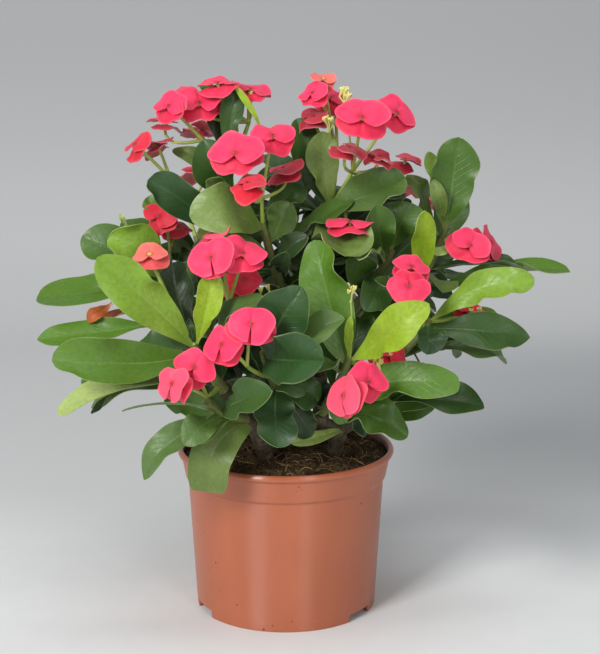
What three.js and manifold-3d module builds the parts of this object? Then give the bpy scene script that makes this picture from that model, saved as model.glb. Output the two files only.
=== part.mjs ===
// A potted crown of thorns (Euphorbia milii): woody stems with spines, leafy shoots and pairs of
// red bracts over a moulded nursery pot of 13 cm. Millimetres, +Z up, and the origin at the middle
// of the pot's underside, on the ground.
import * as THREE from "three";
import { mergeVertices } from "three/addons/utils/BufferGeometryUtils.js";
import Module from "manifold-3d";

const wasm = await Module();
wasm.setup();

// ---------------------------------------------------------------- driving sizes

const POT = {
  height: 98, // to the top of the rolled lip
  lip: 65, // radius of the rolled lip
  bandTop: 62.6, // radius of the plain band under the lip
  bandFoot: 60.2, // radius of the band at its lower edge
  step: 80.6, // height of the band's lower edge
  shoulder: 58.8, // radius of the wall under the step
  foot: 54, // radius at the ground
  wall: 1.4,
  floor: 4, // clearance under the raised ring of the floor
  dish: 22, // radius of the flat middle of the floor, which touches the ground
  sides: 32,
};
const NOTCH = { wide: 19, high: 4.6, azimuths: [-155, -35, 85] };
const DRAIN = { radius: 4.5, ring: 38, count: 4, sides: 8 };
const SOIL = {
  edge: 93.5, // height where it meets the pot
  mound: 5.5, // rise of its middle above that
  relief: 1.5, // height of its lumps
  bottom: 5.7,
  clear: 0.45, // kept from the pot's wall
  rings: [0.8, 0.5, 0.15],
  sides: 20,
};
const GAP = 0.3; // between neighbours that touch on the plant

const LEAF = {
  thick: 0.8,
  fold: 9, // degrees that each half rises from the midrib
  wave: 1.1, // height of the waves of its edge
  ripple: 9.4, // radians of wave from base to tip
  stalk: 1.6, // width at the base
  swell: 1.9, // over 1, widest past the middle
  round: 0.7, // under 1, a blunter outline
  end: 0.28, // share of the width left at the tip
  waist: 0, // share of the length with no width of its own
  full: [0, 0.3, 0.6, 0.86, 1],
  plain: [0, 0.36, 0.76, 1],
  narrow: 24, // a leaf under this width is one flat strip across
  small: 16, // and under this one it takes the plain row of shares
  outer: 0.3, // past this share a leaf keeps clear of its own shoot's leaves too
  sunk: 0.5, // share of the shoot's radius at which its base lies
};
const BRACT = {
  thick: 0.75,
  fold: 0,
  wave: 0,
  ripple: 0,
  stalk: 1.8,
  swell: 0.72,
  round: 0.55,
  end: 0.42,
  waist: 0.1,
  shares: [0.1, 0.15, 0.6, 1],
  wide: 26,
  long: 13,
  bow: 1.4,
};
const CUP = { under: 2.2, over: 2.6, foot: 1.3, mouth: 1.8, sides: 4 }; // between two bracts
const LEVEL = 1.15; // the upper bract of a pair lies this far above the lower one
const WOOD = { root: 5, fork: 4.6, branch: 4.4, tip: 3.6, hole: 5.4, sides: 7, sunk: 18, swing: 0.45 };
const SHOOT = { foot: 3.4, tip: 2, sag: 0.12 };
const FLOWER_STALK = { foot: 1.5, tip: 1.1, single: 0.9, sag: 0.1, swing: 0.4 };
const SPINE = { long: 12, thick: 0.8, every: 18, first: 0.6, lean: 0.25, clear: 4, step: 70 };
const GOLDEN = 137.5; // degrees from one leaf or spine to the next round a stem

// Leaves by rule, each size as its least and its most.
const FILLER = {
  along: [0.35, 1],
  turn: [0, 40],
  rise: [0.25, 0.75],
  long: [44, 66],
  wide: [17, 24],
  bow: [3, 7],
};
const FILLER_SEED = 400; // of the first shoot, one more for each shoot after it
// The crown that they stay inside: a flattened ball, cut off above the pot.
const CROWN = { x: 8, y: 4, z: 185, reach: 138, rise: 92, above: 6 };

// The picture's viewpoint: it looks along +Y and a little down. Places on the plant that were read
// from it are given as column, row and depth, where the depth is the Y of the place.
const VIEW = { focal: 1600, column: 300, row: 327, x: 8.5, y: -926, z: 369, down: 12.12 };

const COLOURS = {
  pot: 0xb96f52,
  soil: 0x3b2a1d,
  wood: 0x6f6656,
  leaf: 0x5f8b3a,
  bract: 0xf2405e,
};

// ---------------------------------------------------------------- the plan of the plant

// Woody stems: where each leaves the soil, and the fork that its shoots rise from.
const CANES = {
  front_left: { root: [-10, -22], fork: [-14, -42, 112] },
  left: { root: [-30, 6], fork: [-32, 8, 128] },
  middle: { root: [4, -4], fork: [2, -12, 132] },
  right: { root: [28, -12], fork: [32, -30, 116] },
  back: { root: [22, 26], fork: [20, 28, 136] },
};

// Leafy shoots: the woody stem that carries each, and its foot and tip in the picture.
const SHOOTS = {
  left: { cane: "front_left", foot: [224, 390, -56], tip: [194, 344, -70], fill: 1 },
  low_left: { cane: "front_left", foot: [246, 419, -56], tip: [207, 402, -78], fill: 1 },
  left_back: { cane: "left", foot: [214, 340, -8], tip: [166, 280, 0], fill: 1 },
  top_left: { cane: "left", foot: [238, 300, 14], tip: [229, 165, 10], fill: 2 },
  back_left: { cane: "left", foot: [226, 330, 46], tip: [196, 236, 74], fill: 11 },
  centre: { cane: "middle", foot: [290, 310, -18], tip: [262, 222, -34], fill: 1 },
  front: { cane: "middle", foot: [284, 400, -46], tip: [263, 352, -72], fill: 1 },
  top: { cane: "middle", foot: [318, 300, 2], tip: [331, 205, -8], fill: 2 },
  front_right: { cane: "right", foot: [322, 412, -46], tip: [350, 358, -66], fill: 1 },
  low_right: { cane: "right", foot: [364, 418, -20], tip: [386, 402, -40], fill: 0 },
  right_low: { cane: "right", foot: [380, 370, -24], tip: [430, 319, -40], fill: 2 },
  mid_right: { cane: "back", foot: [352, 310, 8], tip: [392, 250, -8], fill: 2 },
  right: { cane: "back", foot: [398, 320, 10], tip: [447, 226, 6], fill: 3 },
  back: { cane: "back", foot: [300, 310, 52], tip: [292, 200, 74], fill: 11 },
  back_right: { cane: "back", foot: [352, 320, 52], tip: [398, 240, 82], fill: 11 },
};

// Leaves that the picture shows. "at" is how far along the shoot a leaf starts, "tip" where it
// ends in the picture, "front" and "right" how far its upper face turns from straight up.
const LEAVES = {
  left: [
    { at: 0.95, tip: [97, 258, -96], wide: 27, front: 62, bow: 3 },
    { at: 0.97, tip: [213, 273, -80], wide: 17, front: 80, bow: 2 },
    { at: 0.85, tip: [52, 361, -98], wide: 28, front: 62, bow: 4 },
    { at: 0.7, tip: [80, 380, -60], wide: 20, front: 40, bow: 4 },
    { at: 0.5, tip: [57, 412, -84], wide: 15, front: 12, bow: 4 },
    { at: 0.35, tip: [91, 407, -58], wide: 20, front: 10, bow: 7 },
    { at: 0.9, tip: [172, 262, -48], wide: 20, front: 75, bow: 3 },
    { at: 1, tip: [189, 320, -73], wide: 5, front: 80, bow: 1 },
    { at: 0.6, tip: [136, 344, -50], wide: 22, front: 40, bow: 4 },
  ],
  low_left: [
    { at: 0.75, tip: [142, 478, -84], wide: 20, front: 50, right: -20, bow: 7 },
    { at: 0.6, tip: [184, 444, -88], wide: 18, front: 60, bow: 3 },
    { at: 0.3, tip: [192, 441, -76], wide: 12, front: 40, bow: 3 },
    { at: 0.06, tip: [207, 491, -76], wide: 31, front: 72, bow: 8 },
    { at: 0.9, tip: [122, 411, -76], wide: 12, front: -10, bow: 3 },
  ],
  left_back: [
    { at: 0.85, tip: [37, 297, 4], wide: 24, front: 32, bow: 5 },
    { at: 0.95, tip: [82, 236, 0], wide: 27, front: 55, bow: 4 },
    { at: 1, tip: [110, 236, -16], wide: 28, front: 52, bow: 6 },
    { at: 0.9, tip: [123, 220, 14], wide: 20, front: 40, bow: 3 },
    { at: 0.4, tip: [37, 338, -20], wide: 18, front: 18, bow: 3 },
    { at: 0.55, tip: [88, 321, 2], wide: 12, front: 30, bow: 3 },
    { at: 0.7, tip: [190, 262, -16], wide: 18, front: 75, bow: 3 },
  ],
  top_left: [
    { at: 0.55, tip: [150, 179, -6], wide: 27, front: 60, bow: 4 },
    { at: 0.8, tip: [203, 140, 2], wide: 26, front: 68, bow: 4 },
    { at: 1, tip: [214, 96, 16], wide: 17, front: 62, bow: 4 },
    { at: 1, tip: [236, 88, 8], wide: 14, front: 30, bow: 3 },
    { at: 0.9, tip: [173, 149, 10], wide: 10, front: 50, bow: 2 },
    { at: 0.7, tip: [206, 181, -12], wide: 15, front: 50, bow: 3 },
  ],
  centre: [
    { at: 0.95, tip: [191, 215, -66], wide: 30, front: 58, bow: 9 },
    { at: 0.7, tip: [197, 233, -52], wide: 16, front: 40, bow: 3 },
    { at: 0.8, tip: [291, 203, -34], wide: 20, front: 60, bow: 3 },
    { at: 0.6, tip: [305, 236, -42], wide: 14, front: 55, bow: 3 },
    { at: 0.5, tip: [286, 253, -54], wide: 13, front: 75, bow: 2 },
    { at: 0.55, tip: [268, 255, -52], wide: 17, front: 75, bow: 3 },
    { at: 0.3, tip: [243, 318, -50], wide: 20, front: 70, bow: 4 },
    { at: 1, tip: [301, 183, -22], wide: 18, front: 60, bow: 3 },
  ],
  front: [
    { at: 0.97, tip: [302, 288, -86], wide: 31, front: 76, bow: 4 },
    { at: 0.9, tip: [322, 360, -100], wide: 31, front: 74, bow: 5 },
    { at: 0.75, tip: [343, 318, -78], wide: 19, front: 45, bow: 4 },
    { at: 0.5, tip: [303, 392, -82], wide: 18, front: 55, bow: 3 },
    { at: 0.35, tip: [278, 447, -86], wide: 27, front: 76, bow: 5 },
    { at: 0.2, tip: [312, 436, -58], wide: 24, front: 66, bow: 4 },
    { at: 0.7, tip: [238, 402, -60], wide: 22, front: 60, bow: 4 },
    { at: 0.6, tip: [318, 402, -62], wide: 20, front: 60, bow: 4 },
  ],
  top: [
    { at: 0.95, tip: [296, 119, 0], wide: 22, front: 72, bow: 3 },
    { at: 1, tip: [322, 132, -18], wide: 20, front: 66, bow: 3 },
    { at: 0.75, tip: [346, 256, -68], wide: 36, front: 38, bow: 6 },
    { at: 0.9, tip: [405, 177, -16], wide: 25, front: 52, bow: 4 },
    { at: 0.75, tip: [403, 192, 8], wide: 20, front: 50, bow: 4 },
  ],
  front_right: [
    { at: 0.9, tip: [314, 240, -50], wide: 27, front: 80, bow: 3 },
    { at: 0.98, tip: [427, 304, -94], wide: 24, front: 60, bow: 3 },
    { at: 1, tip: [350, 317, -68], wide: 6, front: 80, bow: 1 },
    { at: 0.8, tip: [312, 367, -78], wide: 16, front: 32, bow: 3 },
    { at: 0.5, tip: [460, 384, -78], wide: 24, front: 62, bow: 4 },
    { at: 0.15, tip: [407, 437, -74], wide: 25, front: 55, bow: 6 },
    { at: 0.3, tip: [345, 420, -70], wide: 14, front: 50, bow: 2 },
    { at: 0.1, tip: [293, 437, -32], wide: 13, front: 20, bow: 3 },
    { at: 0.4, tip: [372, 424, -40], wide: 22, front: 60, bow: 4 },
  ],
  low_right: [
    { at: 1, tip: [484, 406, -52], wide: 23, front: 28, bow: 2 },
    { at: 0.8, tip: [434, 366, -24], wide: 16, front: 30, bow: 3 },
  ],
  right_low: [
    { at: 0.98, tip: [534, 279, -56], wide: 23, front: 60, bow: 4 },
    { at: 0.85, tip: [530, 336, -44], wide: 24, front: 48, bow: 5 },
    { at: 0.7, tip: [507, 362, -26], wide: 18, front: 35, bow: 5 },
    { at: 0.95, tip: [427, 354, -66], wide: 20, front: 78, bow: 3 },
  ],
  mid_right: [
    { at: 0.9, tip: [376, 205, -28], wide: 22, front: 76, bow: 3 },
    { at: 1, tip: [412, 203, -14], wide: 24, front: 76, bow: 3 },
    { at: 0.85, tip: [360, 257, -46], wide: 16, front: 30, bow: 4 },
    { at: 0.7, tip: [367, 309, -54], wide: 20, front: 80, bow: 4 },
    { at: 0.5, tip: [349, 261, -36], wide: 19, front: 76, bow: 3 },
  ],
  right: [
    { at: 0.98, tip: [458, 138, -4], wide: 28, front: 80, bow: 2 },
    { at: 1, tip: [429, 152, 4], wide: 12, front: 62, bow: 2 },
    { at: 0.97, tip: [434, 181, -2], wide: 10, front: 70, bow: 2 },
    { at: 0.9, tip: [409, 174, 8], wide: 16, front: 20, bow: -3 },
    { at: 0.35, tip: [425, 213, -34], wide: 15, front: 82, bow: 2 },
    { at: 0.75, tip: [437, 253, -18], wide: 16, front: 60, bow: 3 },
    { at: 0.6, tip: [524, 268, 2], wide: 18, front: 14, bow: 4 },
    { at: 0.25, tip: [570, 271, 12], wide: 19, front: 14, bow: 6 },
  ],
  back_left: [],
  back: [],
  back_right: [],
};

// Sprays of flowers: the shoot, how far along it the stalk starts, and the fork where the stalk
// divides. Each flower is a pair of bracts: "front" and "right" turn its face from straight up,
// and "pair" turns the pair about that face.
const SPRAYS = [
  {
    shoot: "top_left",
    at: 0.75,
    fork: [170, 178, -4],
    flowers: [
      { name: "a1", place: [137, 146, -12], front: 22, right: -42, pair: 40, size: 0.85 },
      { name: "a2", place: [158, 146, 1], front: -5, right: -22, pair: 5, size: 0.9 },
    ],
  },
  {
    shoot: "top_left",
    at: 1,
    fork: [203, 140, 6],
    flowers: [
      { name: "a3", place: [165, 124, 26], front: 0, right: 5, pair: 170, size: 0.9 },
      { name: "a4", place: [170, 107, -8], front: 48, right: -30, pair: 60, size: 0.85 },
    ],
  },
  {
    shoot: "top_left",
    at: 0.97,
    fork: [249, 122, 14],
    flowers: [
      { name: "a5", place: [199, 104, 4], front: 42, right: 5, pair: 95, size: 0.95 },
      { name: "a6", place: [218, 85, 6], front: 14, right: -5, pair: 100, size: 0.9 },
    ],
  },
  {
    shoot: "centre",
    at: 0.98,
    fork: [262, 198, -40],
    flowers: [
      { name: "b1", place: [236, 154, -58], front: 50, right: -12, pair: 80, size: 1.1 },
      { name: "b2", place: [272, 137, -44], front: 45, right: 8, pair: 95, size: 0.95 },
      { name: "b3", place: [248, 185, -71], front: 22, right: -10, pair: 20, size: 0.85 },
      { name: "b4", place: [284, 170, -22], front: 12, right: -20, pair: 15 },
    ],
  },
  {
    shoot: "top",
    at: 1,
    fork: [352, 172, -14],
    flowers: [
      { name: "c1", place: [362, 118, -44], front: 50, right: 4, pair: 85, size: 1.06 },
      { name: "c2", place: [396, 114, -24], front: 48, right: 25, pair: 70, size: 0.9 },
      { name: "c3", place: [405, 162, 12], front: 8, right: 12, pair: 5, size: 0.85 },
    ],
  },
  {
    shoot: "top",
    at: 0.9,
    fork: [337, 160, -2],
    flowers: [
      { name: "c4", place: [332, 99, 9], front: 32, right: -12, pair: 70, size: 0.8 },
      { name: "c5", place: [314, 94, -10], front: 40, right: -35, pair: 60, size: 0.7 },
    ],
  },
  {
    shoot: "left_back",
    at: 1,
    fork: [170, 252, 2],
    flowers: [
      { name: "d1", place: [160, 217, 0], front: 50, right: -25, pair: 50, size: 0.85 },
      { name: "d2", place: [177, 229, 14], front: 20, right: 10, pair: -20, size: 0.8 },
    ],
  },
  {
    shoot: "left",
    at: 0.98,
    fork: [158, 275, -58],
    flowers: [{ name: "e1", place: [150, 256, -62], front: 38, right: -5, pair: 90, size: 0.72 }],
  },
  {
    shoot: "centre",
    at: 0.35,
    fork: [229, 302, -62],
    flowers: [
      { name: "f1", place: [211, 258, -84], front: 62, right: -8, pair: 100, size: 0.92 },
      { name: "f2", place: [243, 254, -78], front: 48, right: 8, pair: 80, size: 0.9 },
      { name: "f3", place: [243, 280, -50], front: 28, right: 6, pair: -10, size: 0.95 },
    ],
  },
  {
    shoot: "front",
    at: 0.6,
    fork: [247, 366, -88],
    flowers: [
      { name: "g1", place: [251, 325, -100], front: 62, right: 6, pair: 85, size: 0.92 },
      { name: "g2", place: [223, 345, -96], front: 58, right: -32, pair: 75, size: 0.92 },
    ],
  },
  {
    shoot: "left",
    at: 0.15,
    fork: [207, 397, -74],
    flowers: [
      { name: "h1", place: [174, 384, -100], front: 62, right: -45, pair: 75, size: 0.85 },
      { name: "h2", place: [195, 368, -92], front: 60, right: -5, pair: 60, size: 0.82 },
    ],
  },
  {
    shoot: "front_right",
    at: 0.45,
    fork: [350, 412, -80],
    flowers: [
      { name: "i1", place: [345, 396, -104], front: 66, right: -48, pair: 90, size: 0.98 },
      { name: "i2", place: [367, 382, -92], front: 60, right: 32, pair: 90, size: 0.9 },
    ],
  },
  {
    shoot: "right_low",
    at: 0.9,
    fork: [414, 304, -52],
    flowers: [
      { name: "j1", place: [409, 287, -64], front: 60, right: -2, pair: 265, size: 0.88 },
      { name: "j2", place: [411, 268, -50], front: 36, right: 8, pair: 90, size: 0.75 },
    ],
  },
  {
    shoot: "right",
    at: 0.9,
    fork: [470, 250, 4],
    flowers: [
      { name: "k1", place: [470, 246, -18], front: 60, right: 5, pair: 60, size: 0.9 },
      { name: "k2", place: [489, 243, 4], front: 42, right: 55, pair: 70, size: 0.85 },
    ],
  },
  {
    shoot: "right_low",
    at: 0.98,
    fork: [452, 318, -30],
    flowers: [{ name: "l1", place: [469, 311, -24], front: 45, right: 12, pair: 60, size: 0.65 }],
  },
  {
    shoot: "front_right",
    at: 0.98,
    fork: [380, 368, -28],
    flowers: [{ name: "m1", place: [389, 355, -48], front: 45, right: 30, pair: 60, size: 0.9 }],
  },
  {
    shoot: "top",
    at: 0.95,
    fork: [344, 208, -14],
    flowers: [{ name: "n1", place: [350, 224, -36], front: 35, right: 4, pair: 85, size: 0.9 }],
  },
  {
    shoot: "back_left",
    at: 0.95,
    fork: [186, 205, 88],
    flowers: [
      { name: "o1", place: [176, 185, 98], front: -40, right: -25, pair: 70 },
      { name: "o2", place: [204, 176, 92], front: -30, right: 8, pair: 95 },
    ],
  },
  {
    shoot: "back_right",
    at: 0.95,
    fork: [410, 216, 96],
    flowers: [
      { name: "p1", place: [398, 186, 104], front: -40, right: 4, pair: 80 },
      { name: "p2", place: [428, 196, 98], front: -32, right: 30, pair: 100 },
    ],
  },
];

// Shifts tried in turn, in millimetres of depth and degrees, until a piece clears its neighbours.
const DEPTH_SHIFTS = [0, -6, 6, -12, 12, -18, 18, -26, 26, -34, 34];
const TURN_SHIFTS = [0, 20, -20, 40, -40, 60, -60];

// ---------------------------------------------------------------- small helpers

const rad = THREE.MathUtils.degToRad;
const vector = (x, y, z) => new THREE.Vector3(x, y, z);

// A repeatable stream of numbers from 0 to 1.
function stream(seed) {
  let state = seed >>> 0;
  return () => {
    state = (Math.imul(state, 1664525) + 1013904223) >>> 0;
    return state / 4294967296;
  };
}

// The place on the plant that shows at a column and row of the picture, at a depth.
function seen([column, row, depth]) {
  const tilt = rad(VIEW.down);
  const across = (column - VIEW.column) / VIEW.focal;
  const up = (VIEW.row - row) / VIEW.focal;
  const reach = (depth - VIEW.y) / (Math.cos(tilt) + up * Math.sin(tilt));
  const rise = up * Math.cos(tilt) - Math.sin(tilt);
  return vector(VIEW.x + across * reach, depth, VIEW.z + rise * reach);
}

// The way that a face looks when it turns from straight up to the front and to the right.
function facing(front, right) {
  const f = rad(front);
  const r = rad(right);
  return vector(Math.sin(r), -Math.cos(r) * Math.sin(f), Math.cos(r) * Math.cos(f));
}

// A closed shape through a row of rings; the two faces of a blade are split into triangles alike.
function skin(rings, blade = false) {
  const count = rings[0].length;
  const faces = [];
  for (let ring = 0; ring < rings.length - 1; ring++) {
    for (let k = 0; k < count; k++) {
      const a = ring * count + k;
      const b = ring * count + ((k + 1) % count);
      const c = b + count;
      const d = a + count;
      if (blade && k >= count / 2) faces.push(a, b, d, b, c, d);
      else faces.push(a, b, c, a, c, d);
    }
  }
  const last = (rings.length - 1) * count;
  for (let k = 1; k < count - 1; k++) {
    faces.push(0, k + 1, k, last, last + k, last + k + 1);
  }
  const geometry = new THREE.BufferGeometry().setFromPoints(rings.flat());
  return geometry.setIndex(faces);
}

// A solid for cutting and joining, with its faces turned outwards.
function solid(geometry) {
  const bare = geometry.clone();
  bare.deleteAttribute("normal");
  bare.deleteAttribute("uv");
  const merged = mergeVertices(bare, 1e-4);
  const triVerts = new Uint32Array(merged.index.array);
  const vertProperties = merged.attributes.position.array;
  const made = new wasm.Manifold(new wasm.Mesh({ numProp: 3, vertProperties, triVerts }));
  if (made.volume() > 0) return made;
  for (let i = 0; i < triVerts.length; i += 3) {
    [triVerts[i + 1], triVerts[i + 2]] = [triVerts[i + 2], triVerts[i + 1]];
  }
  return new wasm.Manifold(new wasm.Mesh({ numProp: 3, vertProperties, triVerts }));
}

// The largest closed body of a solid, so that no loose scrap is left beside it.
function wholeBody(shape) {
  const bodies = shape.decompose();
  return bodies.reduce((best, body) => (body.volume() > best.volume() ? body : best));
}

function meshOf(shape, name, colour, roughness) {
  const made = wholeBody(shape).getMesh();
  const geometry = new THREE.BufferGeometry();
  geometry.setAttribute("position", new THREE.BufferAttribute(made.vertProperties, 3));
  geometry.setIndex(new THREE.BufferAttribute(made.triVerts, 1));
  const flat = geometry.toNonIndexed();
  flat.computeVertexNormals();
  const material = new THREE.MeshStandardMaterial({ color: colour, roughness, metalness: 0 });
  const mesh = new THREE.Mesh(flat, material);
  mesh.name = name;
  return mesh;
}

// ---------------------------------------------------------------- shapes

// The rolled lip, band, step, tapered wall and raised floor, turned about the pot's axis.
function potShell() {
  const { wall, floor, dish, foot, shoulder, step, bandFoot, bandTop, lip, height } = POT;
  const outline = [
    [0, 0],
    [dish, 0],
    [dish + 3, floor],
    [foot - wall, floor],
    [foot - wall, 0],
    [foot, 0],
    [shoulder, step - 0.8],
    [bandFoot, step],
    [bandTop, height - 4.6],
    [lip - 0.4, height - 3.6],
    [lip, height - 1.6],
    [lip - 1.2, height],
    [lip - 3.2, height - 0.5],
    [bandTop - wall, height - 5],
    [bandFoot - wall, step + 1],
    [shoulder - wall, step - 2],
    [foot - wall + 0.3, floor + wall],
    [dish + 4.2, floor + wall],
    [dish + 1.2, wall],
    [0, wall],
  ];
  const points = outline.map(([r, z]) => new THREE.Vector2(r, z));
  return new THREE.LatheGeometry(points, POT.sides).rotateX(Math.PI / 2);
}

// The pot with its three foot notches and the drain holes of its raised floor.
function pot() {
  let body = solid(potShell());
  for (const azimuth of NOTCH.azimuths) {
    const notch = new THREE.BoxGeometry(8, NOTCH.wide, 2 * NOTCH.high)
      .translate(POT.foot, 0, 0)
      .rotateZ(rad(azimuth));
    body = body.subtract(solid(notch));
  }
  for (let k = 0; k < DRAIN.count; k++) {
    const hole = new THREE.CylinderGeometry(DRAIN.radius, DRAIN.radius, 10, DRAIN.sides)
      .rotateX(Math.PI / 2)
      .translate(DRAIN.ring, 0, POT.floor)
      .rotateZ(rad((k * 360) / DRAIN.count));
    body = body.subtract(solid(hole));
  }
  return body;
}

// The radius of the pot's inner wall at a height.
function innerRadius(z) {
  const { foot, shoulder, step, bandFoot, bandTop, height, wall } = POT;
  const bandRise = (z - step) / (height - 5 - step);
  if (z > step + 1) return bandFoot + (bandTop - bandFoot) * bandRise - wall;
  return foot + (shoulder - foot) * (z / step) - wall;
}

// How high the soil lies at a place: a low mound with lumps.
function soilHeight(x, y) {
  const reach = Math.hypot(x, y) / innerRadius(SOIL.edge);
  const lumps = Math.sin(x * 0.31 + 1.3) * Math.cos(y * 0.27) + 0.6 * Math.sin((x + y) * 0.53);
  return SOIL.edge + SOIL.mound * (1 - reach * reach) + SOIL.relief * lumps * (1 - reach ** 4);
}

function soil() {
  const rings = [];
  for (const z of [SOIL.bottom, POT.step - 3, SOIL.edge]) {
    rings.push(circle(z, innerRadius(z) - SOIL.clear, SOIL.sides));
  }
  for (const share of SOIL.rings) {
    const ring = circle(0, innerRadius(SOIL.edge) * share, SOIL.sides);
    ring.forEach((p) => p.setZ(soilHeight(p.x, p.y)));
    rings.push(ring);
  }
  return solid(skin(rings));
}

function circle(z, radius, sides) {
  return Array.from({ length: sides }, (_, k) => {
    const turn = (k / sides) * 2 * Math.PI;
    return vector(Math.cos(turn) * radius, Math.sin(turn) * radius, z);
  });
}

// A round stalk along a curve, thick at its start and thinner at its end.
function stalk(route, thickness, steps, sides) {
  const frames = route.computeFrenetFrames(steps, false);
  const rings = [];
  for (let i = 0; i <= steps; i++) {
    const centre = route.getPointAt(i / steps);
    const radius = THREE.MathUtils.lerp(thickness[0], thickness[1], i / steps);
    const ring = [];
    for (let k = 0; k < sides; k++) {
      const turn = (k / sides) * 2 * Math.PI;
      const out = frames.normals[i].clone().multiplyScalar(Math.cos(turn) * radius);
      out.addScaledVector(frames.binormals[i], Math.sin(turn) * radius);
      ring.push(out.add(centre));
    }
    rings.push(ring);
  }
  return solid(skin(rings));
}

const bend = (from, middle, to) => new THREE.QuadraticBezierCurve3(from, middle, to);

// How wide a blade is at a share of its length: swelling from a narrow base to a round end.
function outline(share, form) {
  if (share <= form.waist) return 0;
  const full = Math.sin(Math.PI * share ** form.swell) ** form.round;
  return share > 0.99 ? form.end : full;
}

// The rings of a thin blade from its base to its tip: bowed along its midrib, folded along it and
// waved at its edges. "extra" makes it larger all round, to test how clear it stands.
function bladeRings(leaf, form, shares, extra = 0) {
  const chord = leaf.tip.clone().sub(leaf.base);
  const along = chord.clone().normalize();
  const up = leaf.face.clone().addScaledVector(along, -leaf.face.dot(along)).normalize();
  const side = up.clone().cross(along);
  const half = form.thick / 2 + extra;
  return shares.map((share) => {
    const lift = leaf.bow * 4 * share * (1 - share);
    const centre = leaf.base.clone().addScaledVector(chord, share).addScaledVector(up, lift);
    const slope = (leaf.bow * 4 * (1 - 2 * share)) / chord.length();
    const normal = up.clone().addScaledVector(along, -slope).normalize();
    const reach = Math.max(form.stalk, leaf.wide * outline(share, form)) / 2 + extra;
    const edge = (sign) => {
      const wave = share > 0.2 ? form.wave * Math.sin(form.ripple * share + leaf.phase + sign) : 0;
      const rise = reach * Math.tan(rad(form.fold)) + wave * (reach / (leaf.wide / 2 + extra));
      return centre.clone().addScaledVector(side, sign * reach).addScaledVector(normal, rise);
    };
    const row = leaf.flat ? [edge(-1), edge(1)] : [edge(-1), centre, edge(1)];
    const upper = row.map((p) => p.clone().addScaledVector(normal, half));
    const lower = row.map((p) => p.clone().addScaledVector(normal, -half)).reverse();
    return [...upper, ...lower];
  });
}

function blade(leaf, form, shares, extra = 0) {
  return solid(skin(bladeRings(leaf, form, shares, extra), true));
}

// A pair of bracts, one a little above the other, in one strip through their small cup.
function flower(place, spec, extra = 0) {
  const face = facing(spec.front, spec.right);
  const size = spec.size ?? 1;
  const right = vector(1, 0, 0).addScaledVector(face, -face.x).normalize();
  const upward = face.clone().cross(right);
  const turn = rad(spec.pair);
  const way = right.multiplyScalar(Math.cos(turn)).addScaledVector(upward, Math.sin(turn));
  const tall = CUP.under + CUP.over + LEVEL;
  const cup = new THREE.CylinderGeometry(CUP.mouth + extra, CUP.foot + extra, tall, CUP.sides);
  cup.rotateY(Math.PI / CUP.sides).translate(0, (CUP.over + LEVEL - CUP.under) / 2, 0);
  cup.applyMatrix4(new THREE.Matrix4().makeBasis(way, face, way.clone().cross(face)));
  cup.translate(place.x, place.y, place.z);
  const [upper, lower] = [1, -1].map((sign) => {
    const base = place.clone().addScaledVector(face, sign > 0 ? LEVEL : 0);
    const tip = base.clone().addScaledVector(way, sign * BRACT.long * size);
    const bract = { base, tip, face, wide: BRACT.wide * size, bow: BRACT.bow, phase: 0, flat: true };
    return bladeRings(bract, BRACT, BRACT.shares, extra);
  });
  const turned = lower.reverse().map(([a, b, c, d]) => [b, a, d, c]);
  return solid(cup).add(solid(skin([...turned, ...upper], true)));
}

// A spine: a three-sided cone with its foot sunk in the bark.
function spine(foot, way) {
  const cone = new THREE.ConeGeometry(SPINE.thick, SPINE.long, 3).translate(0, SPINE.long / 2, 0);
  cone.applyQuaternion(new THREE.Quaternion().setFromUnitVectors(vector(0, 1, 0), way));
  return solid(cone.translate(foot.x, foot.y, foot.z));
}

// ---------------------------------------------------------------- keeping pieces apart

const standing = []; // { owner, body, box } of everything placed so far
const outers = []; // the same of each leaf past its stalk

function stand(owner, body) {
  standing.push({ owner, body, box: body.boundingBox() });
}

function boxesMeet(a, b) {
  return [0, 1, 2].every((axis) => a.min[axis] < b.max[axis] && b.min[axis] < a.max[axis]);
}

// Whether a solid runs into a piece of another node.
function strikes(owner, body) {
  const box = body.boundingBox();
  return standing.some(
    (other) =>
      other.owner !== owner &&
      boxesMeet(box, other.box) &&
      !body.intersect(other.body).isEmpty(),
  );
}

// ---------------------------------------------------------------- the plant's routes

function shootRoute(name) {
  const foot = seen(SHOOTS[name].foot);
  const tip = seen(SHOOTS[name].tip);
  const middle = foot.clone().lerp(tip, 0.5);
  middle.z -= foot.distanceTo(tip) * SHOOT.sag;
  return bend(foot, middle, tip);
}

function trunkRoute({ root, fork }) {
  const foot = vector(root[0], root[1], SOIL.edge + SOIL.mound - WOOD.sunk);
  const middle = vector(root[0], root[1], (foot.z + fork[2]) / 2);
  return bend(foot, middle, vector(...fork));
}

// The woody branch from a fork to the foot of its shoot, ending a gap short of it.
function branchRoute(cane, name) {
  const fork = vector(...cane.fork);
  const route = shootRoute(name);
  const start = route.getTangent(0);
  const end = route.v0.clone().addScaledVector(start, -GAP);
  const middle = end.clone().addScaledVector(start, -WOOD.swing * end.distanceTo(fork));
  return bend(fork, middle, end);
}

// ---------------------------------------------------------------- nodes

const group = new THREE.Group();
const add = (mesh) => group.add(mesh);

function buildPotAndSoil() {
  const potBody = pot();
  stand("pot", potBody);
  let soilBody = soil();
  for (const cane of Object.values(CANES)) {
    const route = trunkRoute(cane);
    route.v0.z -= GAP;
    soilBody = soilBody.subtract(stalk(route, [WOOD.hole, WOOD.hole], 3, WOOD.sides));
  }
  stand("soil", soilBody);
  add(meshOf(potBody, "pot", COLOURS.pot, 0.4));
  add(meshOf(soilBody, "soil", COLOURS.soil, 1));
}

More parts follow.
